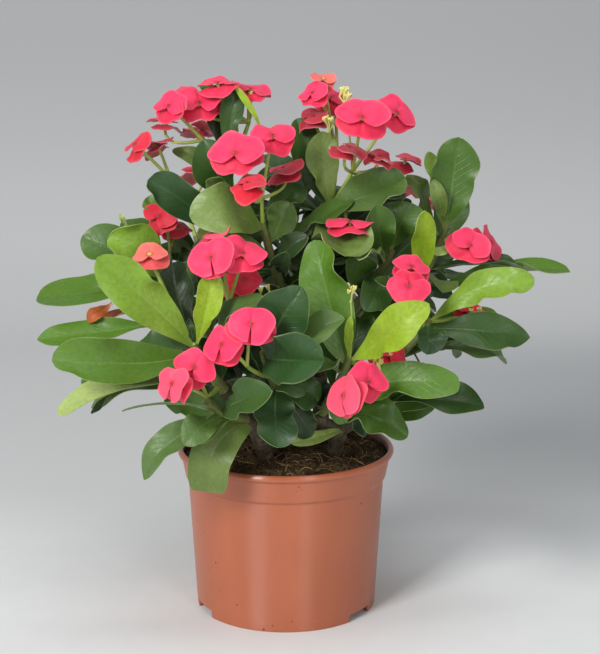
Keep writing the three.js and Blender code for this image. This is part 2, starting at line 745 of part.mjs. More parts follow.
function caneBody(name) {
  const cane = CANES[name];
  const trunk = trunkRoute(cane);
  let body = stalk(trunk, [WOOD.root, WOOD.fork], 3, WOOD.sides);
  const routes = [trunk];
  for (const shoot of Object.keys(SHOOTS).filter((key) => SHOOTS[key].cane === name)) {
    const route = branchRoute(cane, shoot);
    body = body.add(stalk(route, [WOOD.branch, WOOD.tip], 3, 5));
    routes.push(route);
  }
  return { body, routes };
}

// Spines in a spiral up the bark, each left out where it would run into another piece.
function addSpines(owner, body, routes) {
  routes.forEach((route, index) => {
    const length = route.getLength();
    const count = Math.floor(length / SPINE.every);
    for (let k = 1; k <= count; k++) {
      const share = (k - 1 + SPINE.first) / count;
      const centre = route.getPointAt(share);
      if (centre.z < SOIL.edge + SOIL.mound + SPINE.clear) continue;
      const ahead = route.getTangentAt(share);
      const turn = rad(GOLDEN * k + SPINE.step * index);
      const across = vector(Math.cos(turn), Math.sin(turn), 0);
      const way = across.addScaledVector(ahead, SPINE.lean - across.dot(ahead)).normalize();
      const made = spine(centre, way);
      if (strikes(owner, made)) continue;
      body = body.add(made);
      stand(owner, made);
    }
  });
  return body;
}

// A flower's place, moved along the line of sight until it clears what stands.
function placeFlower(spec) {
  for (const shift of DEPTH_SHIFTS) {
    const [column, row, depth] = spec.place;
    const place = seen([column, row, depth + shift]);
    if (!strikes(spec.name, flower(place, spec, GAP))) return place;
  }
  throw new Error("no room for flower " + spec.name);
}

// The stalk of a spray from its shoot to its fork, and a thin stalk to each flower's cup.
function sprayStalks(spray, places) {
  const start = shootRoute(spray.shoot).getPoint(spray.at);
  const fork = seen(spray.fork);
  const middle = start.clone().lerp(fork, 0.5);
  const { foot, tip, single, sag, swing } = FLOWER_STALK;
  middle.z -= start.distanceTo(fork) * sag;
  let body = stalk(bend(start, middle, fork), [foot, tip], 2, 4);
  spray.flowers.forEach((spec, index) => {
    const face = facing(spec.front, spec.right);
    const end = places[index].clone().addScaledVector(face, -CUP.under - GAP);
    const turn = end.clone().addScaledVector(face, -swing * end.distanceTo(fork));
    body = body.add(stalk(bend(fork, turn, end), [tip, single], 2, 4));
  });
  return body;
}

function leafBody(leaf, extra = 0) {
  return blade(leaf, LEAF, leaf.plain ? LEAF.plain : LEAF.full, extra);
}

// The part of a leaf past its stalk.
function outerBlade(leaf, extra = 0) {
  const shares = leaf.plain ? LEAF.plain : LEAF.full;
  return blade(leaf, LEAF, [LEAF.outer, ...shares.filter((s) => s > LEAF.outer)], extra);
}

function leafIsClear(owner, leaf) {
  if (strikes(owner, leafBody(leaf, GAP))) return false;
  const outer = outerBlade(leaf, GAP);
  const box = outer.boundingBox();
  return !outers.some(
    (other) =>
      other.owner === owner && boxesMeet(box, other.box) && !outer.intersect(other.body).isEmpty(),
  );
}

function standLeaf(owner, leaf) {
  const outer = outerBlade(leaf);
  stand(owner, leafBody(leaf));
  outers.push({ owner, body: outer, box: outer.boundingBox() });
}

// Where a leaf that reaches for its tip leaves its shoot: just under the shoot's skin.
function leafFoot(route, share, tip) {
  const centre = route.getPoint(share);
  const ahead = route.getTangent(share);
  const out = tip.clone().sub(centre);
  out.addScaledVector(ahead, -out.dot(ahead)).normalize();
  const radius = THREE.MathUtils.lerp(SHOOT.foot, SHOOT.tip, share);
  return centre.addScaledVector(out, radius * LEAF.sunk);
}

// A leaf of the plan with its tip moved in depth by a shift.
function plannedLeaf(route, spec, index, shift) {
  const [column, row, depth] = spec.tip;
  const tip = seen([column, row, depth + shift]);
  return {
    base: leafFoot(route, spec.at, tip),
    tip,
    face: facing(spec.front, spec.right ?? 0),
    wide: spec.wide,
    bow: spec.bow,
    phase: rad(GOLDEN * index),
    flat: spec.wide < LEAF.narrow,
    plain: spec.wide < LEAF.small,
  };
}

// A leaf by rule: round the shoot at the golden angle, its upper face towards the shoot's tip.
function fillerLeaf(route, draw, index, shift) {
  const share = draw.along;
  const base = route.getPoint(share);
  const ahead = route.getTangent(share);
  const azimuth = rad(GOLDEN * index + draw.turn + shift);
  const across = vector(Math.cos(azimuth), Math.sin(azimuth), 0);
  across.addScaledVector(ahead, -across.dot(ahead)).normalize();
  const way = across.addScaledVector(ahead, draw.rise).normalize();
  const tip = base.clone().addScaledVector(way, draw.long);
  const phase = rad(GOLDEN * index);
  return { base, tip, face: ahead, wide: draw.wide, bow: draw.bow, phase, flat: true, plain: true };
}

function insideCrown(p) {
  const x = (p.x - CROWN.x) / CROWN.reach;
  const y = (p.y - CROWN.y) / CROWN.reach;
  const z = (p.z - CROWN.z) / CROWN.rise;
  return x * x + y * y + z * z < 1 && p.z > POT.height + CROWN.above;
}

function shootBody(name) {
  return stalk(shootRoute(name), [SHOOT.foot, SHOOT.tip], 2, 5);
}

function addPlannedLeaves(name, body) {
  const owner = "shoot_" + name;
  const route = shootRoute(name);
  LEAVES[name].forEach((spec, index) => {
    const shift = DEPTH_SHIFTS.find((d) => leafIsClear(owner, plannedLeaf(route, spec, index, d)));
    if (shift === undefined) return;
    const leaf = plannedLeaf(route, spec, index, shift);
    standLeaf(owner, leaf);
    body = body.add(leafBody(leaf));
  });
  return body;
}

function addFillerLeaves(name, body, seed) {
  const owner = "shoot_" + name;
  const route = shootRoute(name);
  const next = stream(seed);
  for (let index = 0; index < SHOOTS[name].fill; index++) {
    const draw = {};
    for (const [size, [least, most]] of Object.entries(FILLER)) {
      draw[size] = THREE.MathUtils.lerp(least, most, next());
    }
    const shift = TURN_SHIFTS.find((turn) => {
      const leaf = fillerLeaf(route, draw, index, turn);
      return insideCrown(leaf.tip) && leafIsClear(owner, leaf);
    });
    if (shift === undefined) continue;
    const leaf = fillerLeaf(route, draw, index, shift);
    standLeaf(owner, leaf);
    body = body.add(leafBody(leaf));
  }
  return body;
}

// The flowers of a spray, each a node, and their stalks, which join the shoot.
function addSpray(spray, body) {
  const owner = "shoot_" + spray.shoot;
  const places = spray.flowers.map((spec) => {
    const place = placeFlower(spec);
    const made = flower(place, spec);
    stand(spec.name, made);
    add(meshOf(made, "bloom_" + spec.name, COLOURS.bract, 0.6));
    return place;
  });
  const stalks = sprayStalks(spray, places);
  stand(owner, stalks);
  outers.push({ owner, body: stalks, box: stalks.boundingBox() });
  return body.add(stalks);
}

function buildCanes() {
  const canes = {};
  for (const name of Object.keys(CANES)) {
    canes[name] = caneBody(name);
    stand("cane_" + name, canes[name].body);
  }
  return canes;
}

// Every shoot's stem stands before its flowers, and all flowers before the leaves.
function buildShoots() {
  const shoots = {};
  for (const name of Object.keys(SHOOTS)) {
    shoots[name] = shootBody(name);
    stand("shoot_" + name, shoots[name]);
  }
  for (const spray of SPRAYS) shoots[spray.shoot] = addSpray(spray, shoots[spray.shoot]);
  for (const name of Object.keys(SHOOTS)) shoots[name] = addPlannedLeaves(name, shoots[name]);
  Object.keys(SHOOTS).forEach((name, index) => {
    const body = addFillerLeaves(name, shoots[name], FILLER_SEED + index);
    add(meshOf(body, "shoot_" + name, COLOURS.leaf, 0.45));
  });
}

function finishCanes(canes) {
  for (const name of Object.keys(CANES)) {
    const owner = "cane_" + name;
    const body = addSpines(owner, canes[name].body, canes[name].routes);
    add(meshOf(body, owner, COLOURS.wood, 0.9));
  }
}

buildPotAndSoil();
const canes = buildCanes();
buildShoots();
finishCanes(canes);

export default group;
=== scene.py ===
# The look of a potted crown of thorns (Euphorbia milii): fine leaves, bracts, bark, soil and a
# moulded pot, grown from the same plan as the solids that they dress.
#
# Sizes are millimetres and angles degrees. A place in the plan is (column, row, depth): the pixel of
# the 600 by 654 picture at which it shows, and its depth behind the pot's axis.
import math
import random
from typing import NamedTuple

import bmesh
import bpy
from mathutils import Matrix, Vector, kdtree, noise


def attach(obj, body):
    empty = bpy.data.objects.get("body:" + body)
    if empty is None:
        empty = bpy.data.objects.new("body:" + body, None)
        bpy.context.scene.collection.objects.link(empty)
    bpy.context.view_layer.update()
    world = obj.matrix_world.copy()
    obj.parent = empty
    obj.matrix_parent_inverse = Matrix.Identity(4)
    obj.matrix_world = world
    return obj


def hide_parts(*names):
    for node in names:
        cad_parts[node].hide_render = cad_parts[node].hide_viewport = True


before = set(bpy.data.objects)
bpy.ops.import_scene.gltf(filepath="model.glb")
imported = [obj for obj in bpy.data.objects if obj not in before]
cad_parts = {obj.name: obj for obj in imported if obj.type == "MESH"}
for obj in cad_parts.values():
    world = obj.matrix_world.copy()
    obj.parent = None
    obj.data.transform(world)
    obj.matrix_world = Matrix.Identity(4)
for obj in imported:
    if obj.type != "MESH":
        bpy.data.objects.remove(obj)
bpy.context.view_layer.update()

MM = 0.001

# ---------------------------------------------------------------- driving sizes

POT = {  # heights are "height", "step" and "floor", and the others but "wall" are radii
    "height": 98, "lip": 65, "band_top": 62.6, "band_foot": 60.2, "step": 80.6,
    "shoulder": 58.8, "foot": 54, "wall": 1.4, "floor": 4, "dish": 22,
}
NOTCH = {"wide": 19, "high": 4.6, "azimuths": (-155, -35, 85)}
SOIL = {
    "edge": 93.5, "mound": 5.5, "relief": 1.5, "bottom": 5.7, "gap": 0.35, "low_gap": 0.45,
    "around": 150, "rings": 46,
    "lumps": ((1.3, 0.22), (0.8, 0.6), (0.4, 1.5)),  # height and closeness of the finer lumps
}
CRUMBS = {"count": 620, "sizes": (0.5, 0.7, 0.9, 1.2, 1.6, 2.1)}  # small ones as likely as large ones
FIBRES = {"count": 340, "long": (4, 15), "thin": (0.12, 0.26), "rise": (0, 1.6)}
SPECKS = {  # soil on the pot: azimuth, height and size, then how many more by chance
    "seen": [
        (-103.5, 1.6, 0.7), (-98, 4.2, 0.45), (-86, 7, 0.5),
        (-82.7, 91, 0.4), (-81, 89, 0.3), (-84, 88, 0.3),
    ],
    "more": 26,
}

LEAF = {"thick": 0.8, "fold": 9, "wave": 1.1, "ripple": 9.4, "stalk": 1.6, "end": 0.28, "sunk": 0.5}
BLADE = {"thick": 0.5, "rib": (1.1, 0.25), "margin": 0.2, "across": 10, "along": 26}  # of the fine leaves
BRACT = {"thick": 0.75, "wide": 26, "long": 13, "end": 0.42, "bow": 1.4}
PETAL = {"thick": 0.4, "around": 34, "out": 10, "heart": 174, "rim": (126, 156)}  # of the fine bracts
UPPER, LOWER = 1.15, -1.3  # heights of a pair's two bracts above the place of their flower
CUP = {  # its profile is pairs of height and radius, as the bud's is
    "under": 2.2, "glands": 5, "gland": {"red": 0.85, "yellow": 1.25}, "gland_half": (0.42, 0.5, 0.2),
    "profile": ((-3.1, 0.8), (-2, 1.1), (-0.4, 1.1), (UPPER, 0.85), (UPPER + 0.2, 0.7), (UPPER + 0.1, 0.3)),
}
BUD = {
    "spread": 2.6, "below": 6, "stalk": 0.6, "thin": (0.5, 0.42, 0.5), "glands": 4, "gland": 0.55,
    "profile": ((-3.5, 0.5), (-1.2, 0.8), (0, 1.15), (1, 1.25), (1.7, 0.7)),
}
WOOD = {"root": 5, "fork": 4.6, "branch": 4.4, "tip": 3.6, "sunk": 18, "swing": 0.45}
SHOOT = {"foot": 3.4, "tip": 2, "sag": 0.12}
FLOWER_STALK = {"foot": 1.5, "tip": 1.1, "single": 0.9, "sag": 0.1, "swing": 0.4}
SPINE = {"long": 12, "thick": 0.8, "every": 18, "first": 0.6, "lean": 0.25, "step": 70}
SHORT_SPINE = {"every": 7, "clear": 3, "long": (4, 7), "thick": 0.5}
GOLDEN = 137.5  # turn from one leaf or spine to the next
GAP = 0.3  # left between neighbours on the plant

# Leaves that fill a shoot's solid, and the inner leaves that only show here.
FILLER = {
    "along": (0.35, 1), "turn": (0, 40), "rise": (0.25, 0.75),
    "long": (44, 66), "wide": (17, 24), "bow": (3, 7),
}
INNER = {
    "middle": (8, 14, 176), "reach": (100, 108, 90), "front": -46, "above": 8, "clear": 5.2, "tries": 150,
    "along": (0.05, 0.95), "rise": (0, 0.8), "long": (32, 58), "wide": (15, 23), "bow": (3, 7),
}
# Where each random stream starts. The solids were drawn with "filler" too.
SEEDS = {
    "filler": 400, "inner": 23, "leaves": 60, "small_leaves": 31, "more_flowers": 90, "buds": 5,
    "canes": 700, "crumbs": 11, "specks": 17,
}

VIEW = {"focal": 1600, "column": 300, "row": 327, "tall": 654, "x": 8.5, "y": -926, "z": 369, "down": 12.12}
SENSOR = 36

# How far a solid may have been moved until it stood clear of its neighbours, in the order tried.
DEPTH_SHIFTS = (0, -6, 6, -12, 12, -18, 18, -26, 26, -34, 34)
TURN_SHIFTS = (0, 20, -20, 40, -40, 60, -60)

# ---------------------------------------------------------------- the plan of the plant

# Woody stems: where they leave the soil, and their fork.
CANES = {
    "front_left": {"root": (-10, -22), "fork": (-14, -42, 112)},
    "left": {"root": (-30, 6), "fork": (-32, 8, 128)},
    "middle": {"root": (4, -4), "fork": (2, -12, 132)},
    "right": {"root": (28, -12), "fork": (32, -30, 116)},
    "back": {"root": (22, 26), "fork": (20, 28, 136)},
}

# Leafy shoots: the woody stem below, foot, tip and how many leaves fill them.
SHOOTS = {
    "left": {"cane": "front_left", "foot": (224, 390, -56), "tip": (194, 344, -70), "fill": 1},
    "low_left": {"cane": "front_left", "foot": (246, 419, -56), "tip": (207, 402, -78), "fill": 1},
    "left_back": {"cane": "left", "foot": (214, 340, -8), "tip": (166, 280, 0), "fill": 1},
    "top_left": {"cane": "left", "foot": (238, 300, 14), "tip": (229, 165, 10), "fill": 2},
    "back_left": {"cane": "left", "foot": (226, 330, 46), "tip": (196, 236, 74), "fill": 11},
    "centre": {"cane": "middle", "foot": (290, 310, -18), "tip": (262, 222, -34), "fill": 1},
    "front": {"cane": "middle", "foot": (284, 400, -46), "tip": (263, 352, -72), "fill": 1},
    "top": {"cane": "middle", "foot": (318, 300, 2), "tip": (331, 205, -8), "fill": 2},
    "front_right": {"cane": "right", "foot": (322, 412, -46), "tip": (350, 358, -66), "fill": 1},
    "low_right": {"cane": "right", "foot": (364, 418, -20), "tip": (386, 402, -40), "fill": 0},
    "right_low": {"cane": "right", "foot": (380, 370, -24), "tip": (430, 319, -40), "fill": 2},
    "mid_right": {"cane": "back", "foot": (352, 310, 8), "tip": (392, 250, -8), "fill": 2},
    "right": {"cane": "back", "foot": (398, 320, 10), "tip": (447, 226, 6), "fill": 3},
    "back": {"cane": "back", "foot": (300, 310, 52), "tip": (292, 200, 74), "fill": 11},
    "back_right": {"cane": "back", "foot": (352, 320, 52), "tip": (398, 240, 82), "fill": 11},
}

# Leaves: share along the shoot, tip, width, turn of the face to the front and right, bow and tone.
LEAVES = {
    "left": [
        (0.95, (97, 258, -96), 27, 62, 0, 3, "lime"),
        (0.97, (213, 273, -80), 17, 80, 0, 2, "yellow"),
        (0.85, (52, 361, -98), 28, 62, 0, 4, "fresh"),
        (0.7, (80, 380, -60), 20, 40, 0, 4, "mid"),
        (0.5, (57, 412, -84), 15, 12, 0, 4, "pale"),
        (0.35, (91, 407, -58), 20, 10, 0, 7, "olive"),
        (0.9, (172, 262, -48), 20, 75, 0, 3, "dark"),
        (1, (189, 320, -73), 5, 80, 0, 1, "dark"),
        (0.6, (136, 344, -50), 22, 40, 0, 4, "deep"),
    ],
    "low_left": [
        (0.75, (142, 478, -84), 20, 50, -20, 7, "sage"),
        (0.6, (184, 444, -88), 18, 60, 0, 3, "sage"),
        (0.3, (192, 441, -76), 12, 40, 0, 3, "olive"),
        (0.06, (207, 491, -76), 31, 72, 0, 8, "olive"),
        (0.9, (122, 411, -76), 12, -10, 0, 3, "mid"),
    ],
    "left_back": [
        (0.85, (37, 297, 4), 24, 32, 0, 5, "fresh"),
        (0.95, (82, 236, 0), 27, 55, 0, 4, "mid"),
        (1, (110, 236, -16), 28, 52, 0, 6, "lime"),
        (0.9, (123, 220, 14), 20, 40, 0, 3, "mid"),
        (0.4, (37, 338, -20), 18, 18, 0, 3, "fresh"),
        (0.55, (88, 321, 2), 12, 30, 0, 3, "dry"),
        (0.7, (190, 262, -16), 18, 75, 0, 3, "deep"),
    ],
    "top_left": [
        (0.55, (150, 179, -6), 27, 60, 0, 4, "blue"),
        (0.8, (203, 140, 2), 26, 68, 0, 4, "deep"),
        (1, (214, 96, 16), 17, 62, 0, 4, "dark"),
        (1, (236, 88, 8), 14, 30, 0, 3, "deep"),
        (0.9, (173, 149, 10), 10, 50, 0, 2, "olive"),
        (0.7, (206, 181, -12), 15, 50, 0, 3, "olive"),
    ],
    "centre": [
        (0.95, (191, 215, -66), 30, 58, 0, 9, "olive"),
        (0.7, (197, 233, -52), 16, 40, 0, 3, "olive"),
        (0.8, (291, 203, -34), 20, 60, 0, 3, "sage"),
        (0.6, (305, 236, -42), 14, 55, 0, 3, "dark"),
        (0.5, (286, 253, -54), 13, 75, 0, 2, "dark"),
        (0.55, (268, 255, -52), 17, 75, 0, 3, "dark"),
        (0.3, (243, 318, -50), 20, 70, 0, 4, "dark"),
        (1, (301, 183, -22), 18, 60, 0, 3, "deep"),
    ],
    "front": [
        (0.97, (302, 288, -86), 31, 76, 0, 4, "blue"),
        (0.9, (322, 360, -100), 31, 74, 0, 5, "blue"),
        (0.75, (343, 318, -78), 19, 45, 0, 4, "sage"),
        (0.5, (303, 392, -82), 18, 55, 0, 3, "deep"),
        (0.35, (278, 447, -86), 27, 76, 0, 5, "blue"),
        (0.2, (312, 436, -58), 24, 66, 0, 4, "dark"),
        (0.7, (238, 402, -60), 22, 60, 0, 4, "dark"),
        (0.6, (318, 402, -62), 20, 60, 0, 4, "deep"),
    ],
    "top": [
        (0.95, (296, 119, 0), 22, 72, 0, 3, "deep"),
        (1, (322, 132, -18), 20, 66, 0, 3, "olive"),
        (0.75, (346, 256, -68), 36, 38, 0, 6, "olive"),
        (0.9, (405, 177, -16), 25, 52, 0, 4, "sage"),
        (0.75, (403, 192, 8), 20, 50, 0, 4, "dark"),
    ],
    "front_right": [
        (0.9, (314, 240, -50), 27, 80, 0, 3, "fresh"),
        (0.98, (427, 304, -94), 24, 60, 0, 3, "yellow"),
        (1, (350, 317, -68), 6, 80, 0, 1, "yellow"),
        (0.8, (312, 367, -78), 16, 32, 0, 3, "sage"),
        (0.5, (460, 384, -78), 24, 62, 0, 4, "fresh"),
        (0.15, (407, 437, -74), 25, 55, 0, 6, "mid"),
        (0.3, (345, 420, -70), 14, 50, 0, 2, "mid"),
        (0.1, (293, 437, -32), 13, 20, 0, 3, "olive"),
        (0.4, (372, 424, -40), 22, 60, 0, 4, "dark"),
    ],
    "low_right": [
        (1, (484, 406, -52), 23, 28, 0, 2, "deep"),
        (0.8, (434, 366, -24), 16, 30, 0, 3, "mid"),
    ],
    "right_low": [
        (0.98, (534, 279, -56), 23, 60, 0, 4, "lime"),
        (0.85, (530, 336, -44), 24, 48, 0, 5, "deep"),
        (0.7, (507, 362, -26), 18, 35, 0, 5, "sage"),
        (0.95, (427, 354, -66), 20, 78, 0, 3, "blue"),
    ],
    "mid_right": [
        (0.9, (376, 205, -28), 22, 76, 0, 3, "mid"),
        (1, (412, 203, -14), 24, 76, 0, 3, "mid"),
        (0.85, (360, 257, -46), 16, 30, 0, 4, "pale"),
        (0.7, (367, 309, -54), 20, 80, 0, 4, "deep"),
        (0.5, (349, 261, -36), 19, 76, 0, 3, "mid"),
    ],
    "right": [
        (0.98, (458, 138, -4), 28, 80, 0, 2, "mid"),
        (1, (429, 152, 4), 12, 62, 0, 2, "lime"),
        (0.97, (434, 181, -2), 10, 70, 0, 2, "olive"),
        (0.9, (409, 174, 8), 16, 20, 0, -3, "olive"),
        (0.35, (425, 213, -34), 15, 82, 0, 2, "yellow"),
        (0.75, (437, 253, -18), 16, 60, 0, 3, "pale"),
        (0.6, (524, 268, 2), 18, 14, 0, 4, "deep"),
        (0.25, (570, 271, 12), 19, 14, 0, 6, "fresh"),
    ],
}


class Flower(NamedTuple):
    """A pair of bracts: how far its face turns to the front and right, and where its upper one points."""

    name: str
    place: tuple
    front: float
    right: float
    pair: float
    size: float


# Sprays: shoot, share along it, fork and flowers.
SPRAYS = [
    ("top_left", 0.75, (170, 178, -4), [
        Flower("a1", (137, 146, -12), 22, -42, 40, 0.85),
        Flower("a2", (158, 146, 1), -5, -22, 5, 0.9),
    ]),
    ("top_left", 1, (203, 140, 6), [
        Flower("a3", (165, 124, 26), 0, 5, 170, 0.9),
        Flower("a4", (170, 107, -8), 48, -30, 60, 0.85),
    ]),
    ("top_left", 0.97, (249, 122, 14), [
        Flower("a5", (199, 104, 4), 42, 5, 95, 0.95),
        Flower("a6", (218, 85, 6), 14, -5, 100, 0.9),
    ]),
    ("centre", 0.98, (262, 198, -40), [
        Flower("b1", (236, 154, -58), 50, -12, 80, 1.1),
        Flower("b2", (272, 137, -44), 45, 8, 95, 0.95),
        Flower("b3", (248, 185, -71), 22, -10, 20, 0.85),
        Flower("b4", (284, 170, -22), 12, -20, 15, 1),
    ]),
    ("top", 1, (352, 172, -14), [
        Flower("c1", (362, 118, -44), 50, 4, 85, 1.06),
        Flower("c2", (396, 114, -24), 48, 25, 70, 0.9),
        Flower("c3", (405, 162, 12), 8, 12, 5, 0.85),
    ]),
    ("top", 0.9, (337, 160, -2), [
        Flower("c4", (332, 99, 9), 32, -12, 70, 0.8),
        Flower("c5", (314, 94, -10), 40, -35, 60, 0.7),
    ]),
    ("left_back", 1, (170, 252, 2), [
        Flower("d1", (160, 217, 0), 50, -25, 50, 0.85),
        Flower("d2", (177, 229, 14), 20, 10, -20, 0.8),
    ]),
    ("left", 0.98, (158, 275, -58), [
        Flower("e1", (150, 256, -62), 38, -5, 90, 0.72),
    ]),
    ("centre", 0.35, (229, 302, -62), [
        Flower("f1", (211, 258, -84), 62, -8, 100, 0.92),
        Flower("f2", (243, 254, -78), 48, 8, 80, 0.9),
        Flower("f3", (243, 280, -50), 28, 6, -10, 0.95),
    ]),
    ("front", 0.6, (247, 366, -88), [
        Flower("g1", (251, 325, -100), 62, 6, 85, 0.92),
        Flower("g2", (223, 345, -96), 58, -32, 75, 0.92),
    ]),
    ("left", 0.15, (207, 397, -74), [
        Flower("h1", (174, 384, -100), 62, -45, 75, 0.85),
        Flower("h2", (195, 368, -92), 60, -5, 60, 0.82),
    ]),
    ("front_right", 0.45, (350, 412, -80), [
        Flower("i1", (345, 396, -104), 66, -48, 90, 0.98),
        Flower("i2", (367, 382, -92), 60, 32, 90, 0.9),
    ]),
    ("right_low", 0.9, (414, 304, -52), [
        Flower("j1", (409, 287, -64), 60, -2, 265, 0.88),
        Flower("j2", (411, 268, -50), 36, 8, 90, 0.75),
    ]),
    ("right", 0.9, (470, 250, 4), [
        Flower("k1", (470, 246, -18), 60, 5, 60, 0.9),
        Flower("k2", (489, 243, 4), 42, 55, 70, 0.85),
    ]),
    ("right_low", 0.98, (452, 318, -30), [
        Flower("l1", (469, 311, -24), 45, 12, 60, 0.65),
    ]),
    ("front_right", 0.98, (380, 368, -28), [
        Flower("m1", (389, 355, -48), 45, 30, 60, 0.9),
    ]),
    ("top", 0.95, (344, 208, -14), [
        Flower("n1", (350, 224, -36), 35, 4, 85, 0.9),
    ]),
    ("back_left", 0.95, (186, 205, 88), [
        Flower("o1", (176, 185, 98), -40, -25, 70, 1),
        Flower("o2", (204, 176, 92), -30, 8, 95, 1),
    ]),
    ("back_right", 0.95, (410, 216, 96), [
        Flower("p1", (398, 186, 104), -40, 4, 80, 1),
        Flower("p2", (428, 196, 98), -32, 30, 100, 1),
    ]),
]

# ---------------------------------------------------------------- colours as seen in daylight, some with painted light and shade

# Leaf greens, partly their own and partly painted light and shade: leaves in shadow take darker tones such as
# "dark" and "deep", and leaves that catch the light or let it through take lighter ones such as "lime",
# "yellow" and "pale"; "olive" also stands in for a soft sheen.
LEAF_TONES = {
    "lime": (132, 164, 54),
    "yellow": (154, 180, 44),
    "fresh": (88, 124, 36),
    "mid": (74, 106, 36),
    "sage": (88, 114, 58),
    "deep": (56, 86, 34),
    "blue": (50, 80, 42),
    "dark": (40, 62, 27),
    "olive": (112, 132, 66),
    "pale": (164, 182, 106),
    "dry": (182, 92, 50),
}
# Tones that leaves without one of their own are drawn from.
FILLER_TONES = ("mid", "deep", "deep", "fresh", "blue", "sage")
# Inner leaves take the darker tones: painted shade deep in the crown.
INNER_TONES = ("deep", "dark", "mid", "blue", "deep")

# Leaves with a form of their own: the shoot and the leaf's number on it, then what differs from
# leaf_look. A dent is a side of the leaf, where it lies along it, how deep it cuts and how long it is.
LEAF_LOOKS = {
    ("left", 0): {"swell": 1.7, "blunt": 0.55, "wave": 1.6, "fold": 12},
    ("left", 2): {"swell": 1.75, "blunt": 0.5, "wave": 1.4, "twist": 0.2, "fold": 14, "sway": 0.06},
    ("left", 4): {"swell": 2.3, "blunt": 0.34, "wave": 0.8, "nod": 2, "fold": 3, "twist": -0.45, "dents": []},
    ("left_back", 0): {
        "swell": 2.9, "blunt": 0.5, "wave": 1.0, "twist": 0.25, "nod": 1, "slim": 1.3,
        "dents": [(-1, 0.5, 0.42, 0.13)]},
    ("left_back", 1): {"dents": [(1, 0.7, 0.16, 0.1)], "fold": 16},
    ("left_back", 4): {
        "swell": 2.6, "blunt": 0.85, "wave": 2.2, "twist": -0.5, "slim": 1.3, "sway": 0.06,
        "dents": [(1, 0.6, 0.2, 0.06), (-1, 0.45, 0.42, 0.15)]},
    ("left_back", 5): {"swell": 1.4, "blunt": 0.6, "wave": 1.5, "nod": 4, "slim": 0.8},
    ("top_left", 0): {
        "swell": 2.3, "blunt": 0.42, "wave": 2.4, "fold": 16, "slim": 0.86,
        "dents": [(-1, 0.62, 0.3, 0.16), (1, 0.93, 0.2, 0.05)]},
    ("top_left", 1): {"swell": 1.5, "blunt": 0.6, "fold": 14, "dents": [(-1, 0.7, 0.2, 0.1)]},
    ("centre", 0): {"wave": 1.8, "blunt": 0.5, "nod": 3, "fold": 14, "dents": [(-1, 0.8, 0.16, 0.07)]},
    ("front", 0): {
        "swell": 1.45, "blunt": 0.55, "wave": 3.0, "beat": 10, "fold": 20,
        "dents": [(1, 0.9, 0.2, 0.08), (-1, 0.45, 0.2, 0.1)]},
    ("front", 1): {
        "swell": 1.7, "blunt": 0.5, "wave": 3.0, "beat": 8, "fold": 34,
        "dents": [(1, 0.62, 0.28, 0.08), (-1, 0.7, 0.14, 0.09)]},
    ("front", 2): {"fold": 16, "wave": 2.4, "dents": [(-1, 0.5, 0.2, 0.1)]},
    ("front", 4): {"wave": 2.6, "blunt": 0.48, "dents": [(1, 0.6, 0.3, 0.08), (-1, 0.72, 0.16, 0.08)]},
    ("front", 5): {"slim": 0.72, "wave": 2.6, "dents": [(1, 0.7, 0.25, 0.1)]},
    ("top", 2): {"wave": 2.6, "fold": 14, "dents": [(1, 0.7, 0.14, 0.08), (-1, 0.8, 0.18, 0.08)]},
    ("top", 3): {
        "roll": 3.2, "twist": 0.5, "wave": 3.2, "beat": 10, "fold": 34, "slim": 0.94,
        "dents": [(1, 0.6, 0.3, 0.12), (-1, 0.75, 0.25, 0.1)]},
    ("mid_right", 3): {"swell": 1.4, "wave": 2.8, "beat": 11, "dents": [(1, 0.55, 0.32, 0.1)]},
    ("front_right", 0): {
        "swell": 1.25, "blunt": 0.5, "wave": 2.0, "fold": 12,
        "dents": [(-1, 0.72, 0.4, 0.1), (1, 0.4, 0.1, 0.1)]},
    ("front_right", 1): {"swell": 1.6, "blunt": 0.58, "wave": 1.2, "fold": 7},
    ("front_right", 4): {"swell": 1.25, "blunt": 0.36, "wave": 1.0, "twist": 0.05, "slim": 0.92, "fold": 7},
    ("front_right", 5): {
        "swell": 1.5, "blunt": 0.5, "wave": 2.4, "slim": 0.9,
        "dents": [(-1, 0.5, 0.42, 0.09), (-1, 0.8, 0.1, 0.06)]},
    ("low_right", 0): {"swell": 2.4, "blunt": 0.45, "wave": 2.4, "dents": [(1, 0.72, 0.2, 0.08)]},
    ("low_left", 0): {"swell": 1.4, "blunt": 0.85, "nod": 6, "wave": 1.5, "slim": 0.94},
    ("low_left", 4): {"slim": 0.42, "fold": 4, "wave": 0.6, "roll": 0, "nod": 0, "sway": 0.05, "dents": []},
    ("low_left", 3): {
        "swell": 1.5, "blunt": 0.14, "nod": 6, "wave": 1.0, "slim": 0.76, "fold": 10, "sway": -0.15,
        "skew": -3.6, "left": 1, "right": 1, "dents": []},
    ("right_low", 0): {
        "swell": 1.9, "blunt": 0.5, "wave": 3.6, "beat": 13, "twist": 0.1, "sway": 0.09, "slim": 0.86,
        "dents": [(-1, 0.55, 0.24, 0.07), (-1, 0.8, 0.18, 0.05)]},
    ("right_low", 1): {"swell": 1.5, "blunt": 0.8, "wave": 1.4},
    ("right", 0): {"wave": 2.4, "dents": [(-1, 0.6, 0.2, 0.09), (1, 0.75, 0.14, 0.08)]},
    ("right", 7): {"swell": 2.4, "blunt": 0.35, "wave": 1.0, "nod": 1, "slim": 1.3},
}
